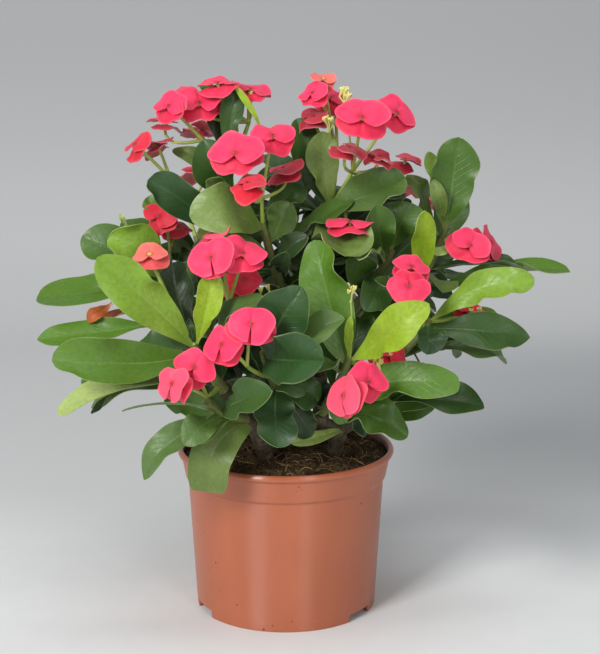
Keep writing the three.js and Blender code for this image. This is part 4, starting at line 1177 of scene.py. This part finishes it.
def add_inner_leaves(name, leaves, crowd, rng):
    """Leaves deep in the crown, wherever there is room for one, in darker tones that paint the shade there.
    """
    route = shoot_route(name)
    for _ in range(INNER["tries"]):
        share, turn = rng.uniform(*INNER["along"]), rng.uniform(0, math.tau)
        base, ahead = route.at(share), route.ahead(share)
        across = square_to(Vector((math.cos(turn), math.sin(turn), 0.05)), ahead)
        way = (across + ahead * rng.uniform(*INNER["rise"])).normalized()
        leaf = {
            "base": base, "tip": base + way * rng.uniform(*INNER["long"]), "face": ahead.copy(),
            "wide": rng.uniform(*INNER["wide"]), "bow": rng.uniform(*INNER["bow"]),
            "phase": rng.uniform(0, 6), "tone": rng.choice(INNER_TONES),
        }
        spots = spots_of(leaf)
        if inside_crown(leaf["tip"]) and crowd.clear(spots):
            crowd.add(spots)
            leaves.append(leaf)


def build_leaves(name, leaves, finish, seed):
    rng = random.Random(seed)
    bm, blade, tone = blank("blade", "tone")
    for leaf in leaves:
        if leaf["tone"] is None:
            leaf["tone"] = rng.choice(FILLER_TONES)
        grow_leaf(bm, leaf, rng, blade, tone)
    finish_piece(bm, "leaves_" + name, finish)


def build_more_leaves(finish):
    """The small leaves that show between the planned ones."""
    rng = random.Random(SEEDS["small_leaves"])
    bm, blade, tone = blank("blade", "tone")
    for foot, tip, wide, front, right, bow, shade in MORE_LEAVES:
        leaf = {
            "base": seen(foot), "tip": seen(tip), "face": facing(front, right), "wide": wide,
            "bow": bow, "phase": rng.uniform(0, 6), "tone": shade, "look": {"dents": [], "nod": 1},
        }
        grow_leaf(bm, leaf, rng, blade, tone)
    finish_piece(bm, "small_leaves", finish)


# ---------------------------------------------------------------- stems and flower stalks


def single_route(fork, flower, place):
    """The thin stalk from a spray's fork to the cup of one flower."""
    face = facing(flower.front, flower.right)
    end = place - face * (CUP["under"] + GAP)
    turn = end - face * FLOWER_STALK["swing"] * (end - fork).length
    return Bend(fork, turn, end + face * GAP)


def build_stem(name, places, finish):
    """The green stem of a shoot with its flower stalks."""
    bm, tone = blank("tone")
    route, radii = shoot_route(name), taper((SHOOT["foot"], SHOOT["tip"]), 14)
    paint(tube(bm, route.row(14), radii, 12, rough=0.14, seed=3), tone, STALK_TONES["shoot"])
    for shoot, share, fork, flowers in SPRAYS:
        if shoot == name:
            fork = seen(fork)
            stalk = sagging(route.at(share), fork, FLOWER_STALK["sag"])
            radii = taper((FLOWER_STALK["foot"], FLOWER_STALK["tip"]), 12)
            paint(tube(bm, stalk.row(12), radii, 8, rough=0.08, seed=5), tone, STALK_TONES["spray"])
            for flower in flowers:
                add_single_stalk(bm, single_route(fork, flower, places[flower.name]), tone)
    finish_piece(bm, "stem_" + name, finish, ["shoot_" + name])


def add_single_stalk(bm, single, tone):
    radii = [mix(FLOWER_STALK["tip"], FLOWER_STALK["single"], min(1, i / 6)) for i in range(10)]
    paint(tube(bm, single.row(9), radii, 8, rough=0.08, seed=7), tone, STALK_TONES["flower"])


# ---------------------------------------------------------------- flowers


def bract_look(rng):
    """How a bract differs from the next: outline, waves and how it bends up or down."""
    return {
        "notch": rng.uniform(0.03, 0.2), "wide": rng.uniform(1.0, 1.12), "phase": rng.uniform(0, 6.3),
        "rim": rng.uniform(*PETAL["rim"]), "ruffle": rng.uniform(1.0, 2.2), "corner": 0.32,
        "droop": rng.uniform(-0.6, 2.2), "lean": rng.uniform(-1.6, 1.6), "wing": rng.uniform(0.2, 1.9),
    }


def bract_point(place, face, way, side, size, level, angle, out, look):
    """A place on a bract by its angle round the flower's heart and how far out it lies."""
    # Its outline: nearly a full turn at the heart and half of one at the rim, with a notch and corners.
    opened = (out ** 1.2 + smooth(0.0, 0.95, out)) / 2
    turn = angle * math.radians(mix(PETAL["heart"], look["rim"], opened))
    end = smooth(0.6, 1.0, abs(angle))
    reach = BRACT["long"] * size * (0.97 + 0.05 * math.cos(2 * turn - math.pi))
    reach *= 1 - look["notch"] * math.exp(-((turn / 0.3) ** 2))
    reach *= 1 - look["corner"] * max(0, (abs(angle) - 0.62) / 0.38) ** 1.5
    reach *= 1 + 0.19 * noise.noise(Vector((turn * 1.3, look["phase"], 0)))
    away = mix(0.4 * size, reach, out)
    # It bows, droops, creases along its middle, ruffles at its rim and lifts at its sides and corners.
    height = level + 0.7 * BRACT["bow"] * math.sin(math.pi * min(1, out * 1.3)) * size
    height -= look["droop"] * size * out ** 2.2
    height -= 0.75 * size * math.exp(-((turn / 0.17) ** 2)) * math.sin(math.pi * min(1, out * 0.9))
    calm = 1 - 0.7 * end
    height += calm * look["ruffle"] * math.sin(2.6 * turn + look["phase"]) * out ** 2
    height += calm * 0.5 * math.sin(6.5 * turn + 2 * look["phase"]) * out ** 4
    height += look["wing"] * size * math.sin(turn) ** 2 * out ** 1.5
    height += look["lean"] * math.sin(turn) * out + (0.4 + 0.2 * look["lean"]) * end * out
    flat = way * math.cos(turn) + side * math.sin(turn) * look["wide"]
    return place + flat * away + face * height


def build_flower(flower, place, finish, cup_finish, seed, nodes=()):
    """A pair of bracts, the lower one darker with painted shade, and the cup between them."""
    name, size = flower.name, flower.size
    rng = random.Random(seed)
    face, way = facing(flower.front, flower.right), pair_way(flower)
    shade = rng.uniform(0.9, 1.06)
    colour = [min(1, c * shade) for c in linear(BRACT_TONES[FLOWER_TONES.get(name, "coral")])]
    bm, blade, tone = blank("blade", "tone")
    # The lower bract is a deeper red, partly its own and partly painted shade from the upper bract over it.
    for sign, level, painted_shade in ((1, UPPER, (1, 1, 1)), (-1, LOWER, (0.88, 0.52, 0.62))):
        rows = sheet(bm, PETAL["around"], PETAL["out"])
        lobe = [c * d for c, d in zip(colour, painted_shade)]
        look = bract_look(rng)
        if sign > 0:
            look["rim"] = CLOSED.get(name, look["rim"])
            look["corner"] = 0.32 if look["rim"] < 160 else 0.1
        else:
            look["droop"] += 1.2
        side = face.cross(way * sign)
        for row in rows:
            out = ((row[0].co.y + 1) / 2) ** 0.9
            for v in row:
                angle = -v.co.x
                v[blade] = (angle, out, 0)
                v[tone] = (*lobe, 1)
                v.co = bract_point(place, face, way * sign, side, size, level, angle, out, look) * MM
        thicken(bm, rows, PETAL["thick"], blade)
    finish_piece(bm, "bracts_" + name, finish, nodes)
    build_cup(name, place + face * 0.3, face, way, size, cup_finish)


def build_cup(name, place, face, way, size, finish):
    """The cup between two bracts, green below, with its glands and a stamen over each."""
    bm, tone = blank("tone")
    kind = "yellow" if name in YELLOW_CUPS else "red"
    cup_tone, gland_tone, stamen_tone = CUP_TONES[kind]
    side, wide = face.cross(way), CUP["gland"][kind]
    centres = [place + face * height for height, _ in CUP["profile"]]
    for v in tube(bm, centres, [radius * size for _, radius in CUP["profile"]], 12):
        under = (v.co / MM - place).dot(face) < 0.2
        paint([v], tone, CUP_TONES["yellow"][0] if under else cup_tone)
    for k in range(CUP["glands"]):
        turn = math.tau * (k + 0.3) / CUP["glands"]
        out = way * math.cos(turn) + side * math.sin(turn)
        gland = bmesh.ops.create_uvsphere(bm, u_segments=8, v_segments=5, radius=1)["verts"]
        axes = [axis * half for axis, half in zip((out, face.cross(out), face), CUP["gland_half"])]
        axes = Matrix(axes).transposed() * size * wide * MM
        centre = place + out * 0.95 * wide * size + face * (UPPER + 0.25)
        bmesh.ops.transform(bm, matrix=Matrix.Translation(centre * MM) @ axes.to_4x4(), verts=gland)
        paint(gland, tone, gland_tone)
        lean = (face + out * 0.35).normalized()
        foot = place + face * UPPER + out * 0.3 * size
        made = tube(bm, [foot, foot + lean * 0.5, foot + lean * 0.8], [0.12, 0.12, 0.18], 5)
        paint(made, tone, stamen_tone)
    finish_piece(bm, "cup_" + name, finish)


def build_more_flowers(finish, cup_finish, stalk):
    """The flowers that fill the sprays out, with their stalks."""
    bm, tone = blank("tone")
    for fork, flowers in MORE_FLOWERS:
        for flower in flowers:
            place = seen(flower.place)
            build_flower(flower, place, finish, cup_finish, SEEDS["more_flowers"] + len(bm.verts))
            add_single_stalk(bm, single_route(seen(fork), flower, place), tone)
    finish_piece(bm, "more_stalks", stalk)


def build_buds(finish):
    """Small pale green cups in clumps on a stalk, before their bracts open."""
    rng = random.Random(SEEDS["buds"])
    bm, tone = blank("tone")
    for place, fork, count in BUDS:
        place, fork = seen(place), seen(fork)
        knot = place - Vector((0, 0, BUD["below"]))
        stalk = Bend(fork, (fork + knot) / 2 + Vector((1.5, 0, -2)), knot)
        paint(tube(bm, stalk.row(6), [BUD["stalk"]] * 7, 8), tone, STALK_TONES["bud"])
        for _ in range(count):
            foot = place + Vector([rng.uniform(-BUD["spread"], BUD["spread"]) for _ in range(3)])
            way = Vector((rng.uniform(-0.5, 0.5), rng.uniform(-0.9, -0.1), 1)).normalized()
            places = [foot + way * height for height, _ in BUD["profile"]]
            paint(tube(bm, places, [radius for _, radius in BUD["profile"]], 10), tone, BUD_TONES["cup"])
            made = tube(bm, [knot, (knot + places[0]) / 2, places[0]], BUD["thin"], 6)
            paint(made, tone, STALK_TONES["flower"])
            for k in range(BUD["glands"]):
                turn = math.tau * k / BUD["glands"] + rng.uniform(0, 1)
                out = square_to(Vector((math.cos(turn), math.sin(turn), 0.1)), way)
                gland = bmesh.ops.create_uvsphere(
                    bm, u_segments=8, v_segments=5, radius=BUD["gland"] * MM)["verts"]
                bmesh.ops.translate(bm, vec=(foot + way * 1.5 + out * 1.05) * MM, verts=gland)
                paint(gland, tone, BUD_TONES["gland"])
    finish_piece(bm, "young_buds", finish)


# ---------------------------------------------------------------- woody stems


def add_spine(bm, foot, way, long, thick):
    """A cone with a blunt tip that stands on its foot."""
    made = bmesh.ops.create_cone(
        bm, cap_ends=True, segments=6, radius1=thick * MM, radius2=0.05 * MM, depth=long * MM)["verts"]
    turn = Vector((0, 0, 1)).rotation_difference(way).to_matrix().to_4x4()
    bmesh.ops.transform(bm, matrix=Matrix.Translation((foot + way * long / 2) * MM) @ turn, verts=made)


def cane_routes(name):
    """The trunk of a woody stem, then its branches."""
    cane = CANES[name]
    branches = [branch_route(cane, shoot) for shoot in SHOOTS if SHOOTS[shoot]["cane"] == name]
    return [trunk_route(cane), *branches]


def build_twigs(finish):
    """Dry twigs and loose thorns, a little crooked."""
    bm = bmesh.new()
    for foot, tip, thick in TWIGS:
        foot, tip = seen(foot), seen(tip)
        middle = (foot + tip) / 2 + Vector((1.2, 0, -0.8))
        tube(bm, Bend(foot, middle, tip).row(8), taper((thick, thick * 0.45), 8), 6, rough=0.2, seed=9)
    finish_piece(bm, "dry_twigs", finish)


def build_cane(name, bark, spines, seed):
    rng = random.Random(seed)
    corners = Corners("cane_" + name)
    bm, thorns = bmesh.new(), bmesh.new()
    for index, route in enumerate(cane_routes(name)):
        steps = max(10, int(route.length / 2.5))
        ends = (WOOD["root"], WOOD["fork"]) if index == 0 else (WOOD["branch"], WOOD["tip"])
        tube(bm, route.row(steps), taper(ends, steps), 16, rough=0.16, seed=index)
        count = int(route.length / SPINE["every"])
        for k in range(1, count + 1):
            add_cane_spine(thorns, corners, route, index, k, count)
        for _ in range(int(route.length / SHORT_SPINE["every"])):
            share = rng.uniform(0.05, 0.98)
            add_extra_spine(thorns, route, share, mix(*ends, share), rng)
    finish_piece(bm, "bark_" + name, bark, ["cane_" + name])
    finish_piece(thorns, "spines_" + name, spines)


def add_cane_spine(bm, corners, route, index, k, count):
    """A long spine where the solid has one."""
    t = route.even((k - 1 + SPINE["first"]) / count)
    centre, ahead = route.at(t), route.ahead(t)
    turn = math.radians(GOLDEN * k + SPINE["step"] * index)
    across = Vector((math.cos(turn), math.sin(turn), 0))
    way = (across + ahead * (SPINE["lean"] - across.dot(ahead))).normalized()
    if corners.hold([centre + way * SPINE["long"]]):
        add_spine(bm, centre, way, SPINE["long"], SPINE["thick"] * 1.1)


def add_extra_spine(bm, route, share, radius, rng):
    """A short spine between the long ones."""
    centre, ahead = route.at(share), route.ahead(share)
    turn = rng.uniform(0, math.tau)
    out = square_to(Vector((math.cos(turn), math.sin(turn), 0.2)), ahead)
    if centre.z > SOIL["edge"] + SOIL["mound"] + SHORT_SPINE["clear"]:
        way = (out + ahead * rng.uniform(0.1, 0.5)).normalized()
        long = rng.uniform(*SHORT_SPINE["long"])
        add_spine(bm, centre + out * radius * 0.7, way, long, SHORT_SPINE["thick"])


# ---------------------------------------------------------------- pot and soil


def inner_radius(z):
    """How far the inside of the pot's wall is from its axis."""
    step, wall = POT["step"], POT["wall"]
    if z > step + 1:
        rise = (z - step) / (POT["height"] - 5 - step)
        return POT["band_foot"] + (POT["band_top"] - POT["band_foot"]) * rise - wall
    return POT["foot"] + (POT["shoulder"] - POT["foot"]) * z / step - wall


def rounded(corners):
    """A profile through corners, each given as radius, height and how large its round is."""
    points = []
    for i, (r, z, round_by) in enumerate(corners):
        here = Vector((r, z))
        if round_by == 0 or i in (0, len(corners) - 1):
            points.append(here)
            continue
        before, after = Vector(corners[i - 1][:2]), Vector(corners[i + 1][:2])
        a = here + (before - here).normalized() * min(round_by, (before - here).length * 0.45)
        b = here + (after - here).normalized() * min(round_by, (after - here).length * 0.45)
        for k in range(4):
            t = k / 3
            points.append(a * (1 - t) ** 2 + here * 2 * t * (1 - t) + b * t * t)
    return points


def pot_profile():
    """Out along the underside, up the outside, over the lip, down the inside and in along the floor."""
    p, wall = POT, POT["wall"]
    return rounded([
        (0, 0, 0), (p["dish"], 0, 0.8), (p["dish"] + 3, p["floor"], 1.2),
        (p["foot"] - wall, p["floor"], 0.5), (p["foot"] - wall, 0, 0.4), (p["foot"], 0, 0.6),
        (p["foot"] + 0.35, p["floor"] + 1.9, 0.1),
        (p["shoulder"] - 0.1, p["step"] - 1.6, 0.9), (p["shoulder"] + 0.5, p["step"] - 0.7, 0.4),
        (p["band_foot"], p["step"], 0.8),
        (p["band_top"], p["height"] - 4.8, 0.5), (p["lip"] - 0.8, p["height"] - 4.2, 0.9),
        (p["lip"], p["height"] - 2.2, 1.6), (p["lip"] - 1.4, p["height"], 1.6),
        (p["lip"] - 3.4, p["height"] - 0.7, 1.4), (p["band_top"] - wall, p["height"] - 5, 1.0),
        (p["band_foot"] - wall, p["step"] + 1, 0.8), (p["shoulder"] - wall, p["step"] - 2, 0.8),
        (p["foot"] - wall + 0.3, p["floor"] + wall, 0.6), (p["dish"] + 4.2, p["floor"] + wall, 0.8),
        (p["dish"] + 1.2, wall, 0.8), (0, wall, 0),
    ])


def build_pot(finish):
    """Spins the profile into the pot, which stays closed and keeps its wall."""
    bm = bmesh.new()
    verts = [bm.verts.new((p.x * MM, 0, p.y * MM)) for p in pot_profile()]
    edges = [bm.edges.new(pair) for pair in zip(verts, verts[1:])]
    bmesh.ops.spin(bm, geom=verts + edges, cent=(0, 0, 0), axis=(0, 0, 1), angle=math.tau,
                   steps=360, use_merge=True)
    bmesh.ops.remove_doubles(bm, verts=bm.verts[:], dist=0.01 * MM)
    bmesh.ops.recalc_face_normals(bm, faces=bm.faces[:])
    cut_notches(bm)
    finish_piece(bm, "pot_moulding", finish, ["pot"], sharp=1.1)


def cut_notches(bm):
    """Raises the foot's edge over three short stretches, and opens nothing else."""
    half = NOTCH["wide"] / 2 / POT["foot"]
    for v in bm.verts:
        radius, height = math.hypot(v.co.x, v.co.y) / MM, v.co.z / MM
        if radius < POT["foot"] - 3.2 or height > NOTCH["high"]:
            continue
        turn = math.atan2(v.co.y, v.co.x)
        for azimuth in NOTCH["azimuths"]:
            away = abs((turn - math.radians(azimuth) + math.pi) % math.tau - math.pi)
            if away < half:
                v.co.z = max(v.co.z, (NOTCH["high"] - 0.2) * MM)


def soil_height(x, y, fine=True):
    """The solid's own mound and lumps, and finer ones on them."""
    reach = math.hypot(x, y) / inner_radius(SOIL["edge"])
    lumps = math.sin(x * 0.31 + 1.3) * math.cos(y * 0.27) + 0.6 * math.sin((x + y) * 0.53)
    height = SOIL["edge"] + SOIL["mound"] * (1 - reach * reach) + SOIL["relief"] * lumps * (1 - reach ** 4)
    if fine:
        here = Vector((x, y, 0))
        height += sum(deep * noise.noise(here * close) for deep, close in SOIL["lumps"])
    return height


def build_soil(finish):
    """Wraps a sheet round the soil: from the middle below, up the pot's wall and back to the middle."""
    bm = bmesh.new()
    around, out, point = SOIL["around"], SOIL["rings"], 0.005
    edge = inner_radius(SOIL["edge"]) - SOIL["gap"]
    for i, row in enumerate(sheet(bm, around, out)):
        for k, v in enumerate(row):
            turn = math.tau * k / around
            share = (i - 3) / (out - 3)
            if i < 3:
                z = (SOIL["bottom"], SOIL["bottom"], POT["step"] - 3)[i]
                radius = inner_radius(z) - SOIL["low_gap"] if i else point
            else:
                radius = max(point, edge * (1 - share))
                z = soil_height(radius * math.cos(turn), radius * math.sin(turn), share > 0)
            v.co = Vector((radius * math.cos(turn), radius * math.sin(turn), z)) * MM
    bmesh.ops.remove_doubles(bm, verts=bm.verts[:], dist=0.012 * MM)
    bmesh.ops.recalc_face_normals(bm, faces=bm.faces[:])
    finish_piece(bm, "peat", finish, ["soil"], sharp=3)


def rough_ball(bm, size, least, most, rng):
    """A small ball with each corner pushed in or out."""
    made = bmesh.ops.create_icosphere(bm, subdivisions=1, radius=size * MM)["verts"]
    for v in made:
        v.co *= rng.uniform(least, most)
    return made


def build_crumbs(finish, fibre):
    """Crumbs that lie on the soil, and fibres that arch a little above it."""
    rng = random.Random(SEEDS["crumbs"])
    bm = bmesh.new()
    strands, tone = blank("tone")
    edge = inner_radius(SOIL["edge"]) - 2
    for _ in range(CRUMBS["count"]):
        turn, radius = rng.uniform(0, math.tau), edge * math.sqrt(rng.uniform(0.02, 1))
        x, y = radius * math.cos(turn), radius * math.sin(turn)
        size = rng.choice(CRUMBS["sizes"])
        made = rough_ball(bm, size, 0.7, 1.25, rng)
        place = Matrix.Translation(Vector((x, y, soil_height(x, y) + size * 0.25)) * MM)
        shape = Matrix.Diagonal((1, rng.uniform(0.6, 1), rng.uniform(0.5, 0.9), 1))
        spin = Matrix.Rotation(rng.uniform(0, math.tau), 4, "Z")
        bmesh.ops.transform(bm, matrix=place @ spin @ shape, verts=made)
    for _ in range(FIBRES["count"]):
        turn, radius = rng.uniform(0, math.tau), (edge - 2) * math.sqrt(rng.uniform(0.1, 1))
        here = Vector((radius * math.cos(turn), radius * math.sin(turn), 0))
        heading, long = rng.uniform(0, math.tau), rng.uniform(*FIBRES["long"])
        bend, rise, points = rng.uniform(-0.5, 0.5), rng.uniform(*FIBRES["rise"]), []
        for i in range(5):
            if math.hypot(here.x, here.y) > edge:
                break
            lift = 0.35 + rise * math.sin(math.pi * i / 4)
            points.append(Vector((here.x, here.y, soil_height(here.x, here.y) + lift)))
            here += Vector((math.cos(heading), math.sin(heading), 0)) * long / 4
            heading += bend
        if len(points) > 2:
            thin, colour = rng.uniform(*FIBRES["thin"]), rng.choice(FIBRE_TONES)
            paint(tube(strands, points, [thin] * len(points), 4), tone, colour)
    finish_piece(bm, "peat_crumbs", finish, sharp=0.3)
    finish_piece(strands, "peat_fibres", fibre, sharp=2)


def build_specks(finish):
    """Specks of soil that cling to the pot: those that show at the front, then more all round."""
    rng = random.Random(SEEDS["specks"])
    bm = bmesh.new()
    more = [(rng.uniform(-60, 240), rng.uniform(2, 90), rng.uniform(0.2, 0.5)) for _ in range(SPECKS["more"])]
    for azimuth, z, size in SPECKS["seen"] + more:
        turn = math.radians(azimuth)
        radius = inner_radius(z) + POT["wall"]
        here = Vector((radius * math.cos(turn), radius * math.sin(turn), z))
        bmesh.ops.translate(bm, vec=here * MM, verts=rough_ball(bm, size, 0.6, 1.2, rng))
    finish_piece(bm, "soil_specks", finish, sharp=0.3)


# ---------------------------------------------------------------- the room, the light and the camera


# The sheet of paper behind the plant, and the painted shade of its floor near, behind and above, which
# run into each other over a stretch of the way back, in metres as in the finish.
PAPER = {"wide": 6800, "front": -2600, "bend": 700, "round": 900, "steps": 36, "wall": (1800, 3200, 4200)}
# Painted shade: the floor darkens from near to far and again up the wall, as the light falls off.
FLOOR = {
    "near": (0.76, 0.765, 0.76), "far": (0.635, 0.638, 0.632), "top": (0.468, 0.468, 0.468),
    "turn": (0.0, 0.24), "rise": (0.98, 1.42),
}
# Painted shadow and painted light on the floor: the plant's shadow to the right and back, shadow beside the
# pot, and a pale patch near it for light. Over what stretch each comes in and goes out to the right and to
# the back, how much of its shade it has, and the shade.
PAINTED_SHADOWS_AND_LIGHT = [
    ((-0.02, 0.14, 9.0, 9.5), (0.1, 0.4, 0.55, 0.85), 0.6, (0.375, 0.395, 0.405)),
    ((0.06, 0.22, 9.0, 9.5), (0.0, 0.1, 0.12, 0.2), 0.35, (0.375, 0.395, 0.405)),
    ((0.02, 0.1, 0.12, 0.2), (-0.02, 0.06, 0.08, 0.18), 0.8, (0.96, 0.97, 0.97)),
]

# Softboxes: where they stand and point to, and their size, all in metres, and their power.
LIGHTS = {
    "key_softbox": ((-1.35, -1.9, 1.4), (0, 0, 0.12), (0.8, 1.0), 54),
    "fill_softbox": ((0.9, -1.9, 0.9), (0, 0, 0.15), (0.45, 1.1), 8.2),
    "top_softbox": ((0.05, -0.45, 1.9), (0, 0, 0.1), (1.3, 0.7), 10),
}
SKY = ((0.9, 0.95, 1.0, 1), 0.34)  # the soft light from all round: colour and strength


def floor_finish():
    """Pale paper with painted shade that darkens it to the back and up the wall, and painted patches of
    shadow and light.
    """
    f = Finish("pale_floor", 0.6, 0.2)
    right, back, _ = f.parts(f.place())
    grain = f.grain(40, 3.0)
    near = f.blend(f.band(grain, 0.3, 0.7), FLOOR["near"], [c * 1.02 for c in FLOOR["near"]])
    # Painted shade: darker from near to far.
    base = f.blend(f.band(back, *FLOOR["turn"]), near, FLOOR["far"])
    # Painted shadow and painted light in patches.
    for *bands, share, shade in PAINTED_SHADOWS_AND_LIGHT:
        for value, (low, full, fall, end) in zip((right, back), bands):
            share = f.times(share, f.band(value, low, full))
            share = f.times(share, f.band(value, fall, end, 1.0, 0.0))
        base = f.blend(share, base, shade)
    # Painted shade: darker again up the wall.
    f.colour(f.blend(f.band(back, *FLOOR["rise"]), base, FLOOR["top"]))
    f.relief(grain, 0.05, 0.2)
    return f.material


def build_stage():
    """A floor that sweeps up into the back wall."""
    bend, radius, steps = PAPER["bend"], PAPER["round"], PAPER["steps"]
    profile = [(PAPER["front"], 0), (bend, 0)]
    for i in range(1, steps + 1):
        turn = math.pi / 2 * i / steps
        profile.append((bend + radius * math.sin(turn), radius * (1 - math.cos(turn))))
    profile += [(bend + radius, height) for height in PAPER["wall"]]
    bm = bmesh.new()
    for row, (y, z) in zip(sheet(bm, 2, len(profile) - 1), profile):
        for v in row:
            v.co = Vector((v.co.x * PAPER["wide"] / 2, y, z)) * MM
    show(bm, "studio_floor", floor_finish(), math.pi)


def build_light():
    for name, (place, target, size, power) in LIGHTS.items():
        data = bpy.data.lights.new(name, "AREA")
        data.shape, data.size, data.size_y = "RECTANGLE", size[0], size[1]
        data.energy = power
        light = put(name, data)
        light.location = place
        light.rotation_euler = (Vector(target) - Vector(place)).to_track_quat("-Z", "Y").to_euler()
    world = bpy.data.worlds.new("studio")
    bpy.context.scene.world = world
    world.use_nodes = True
    for socket, value in zip(world.node_tree.nodes["Background"].inputs, SKY):
        socket.default_value = value


def build_camera():
    data = bpy.data.cameras.new("camera")
    data.sensor_width = SENSOR
    data.lens = VIEW["focal"] / VIEW["tall"] * SENSOR
    data.clip_start, data.clip_end = 0.01, 30
    camera = put("camera", data)
    camera.location = Vector((VIEW["x"], VIEW["y"], VIEW["z"])) * MM
    camera.rotation_euler = (math.radians(90 - VIEW["down"]), 0, 0)
    bpy.context.scene.camera = camera


# ---------------------------------------------------------------- all of it

bpy.context.scene.view_settings.view_transform = "Standard"
build_camera()
build_stage()
build_light()

build_pot(pot_finish())
peat, fibre = soil_finish(), fibre_finish()
build_soil(peat)
build_crumbs(peat, fibre)
build_specks(peat)

bark, thorn = bark_finish(), spine_finish()
for index, cane in enumerate(CANES):
    build_cane(cane, bark, thorn, SEEDS["canes"] + index)

velvet, wax = bract_finish(), gland_finish()
flower_places = {}
for *_, flowers in SPRAYS:
    for flower in flowers:
        place = flower_places[flower.name] = flower_place(flower)
        flower = flower._replace(front=FLATTER.get(flower.name, flower.front))
        build_flower(flower, place, velvet, wax, len(flower_places), ["bloom_" + flower.name])

build_twigs(thorn)

green, blade_green = stalk_finish(), leaf_finish()
build_more_leaves(blade_green)
build_more_flowers(velvet, wax, green)
build_buds(wax)

foliage = {name: leaves_of(name, SEEDS["filler"] + index) for index, name in enumerate(SHOOTS)}
crowd = Crowd([spot for leaves in foliage.values() for leaf in leaves for spot in spots_of(leaf)])
crowd.add(flower_places.values())
inner = random.Random(SEEDS["inner"])
for index, name in enumerate(SHOOTS):
    add_inner_leaves(name, foliage[name], crowd, inner)
    build_stem(name, flower_places, green)
    build_leaves(name, foliage[name], blade_green, SEEDS["leaves"] + index)
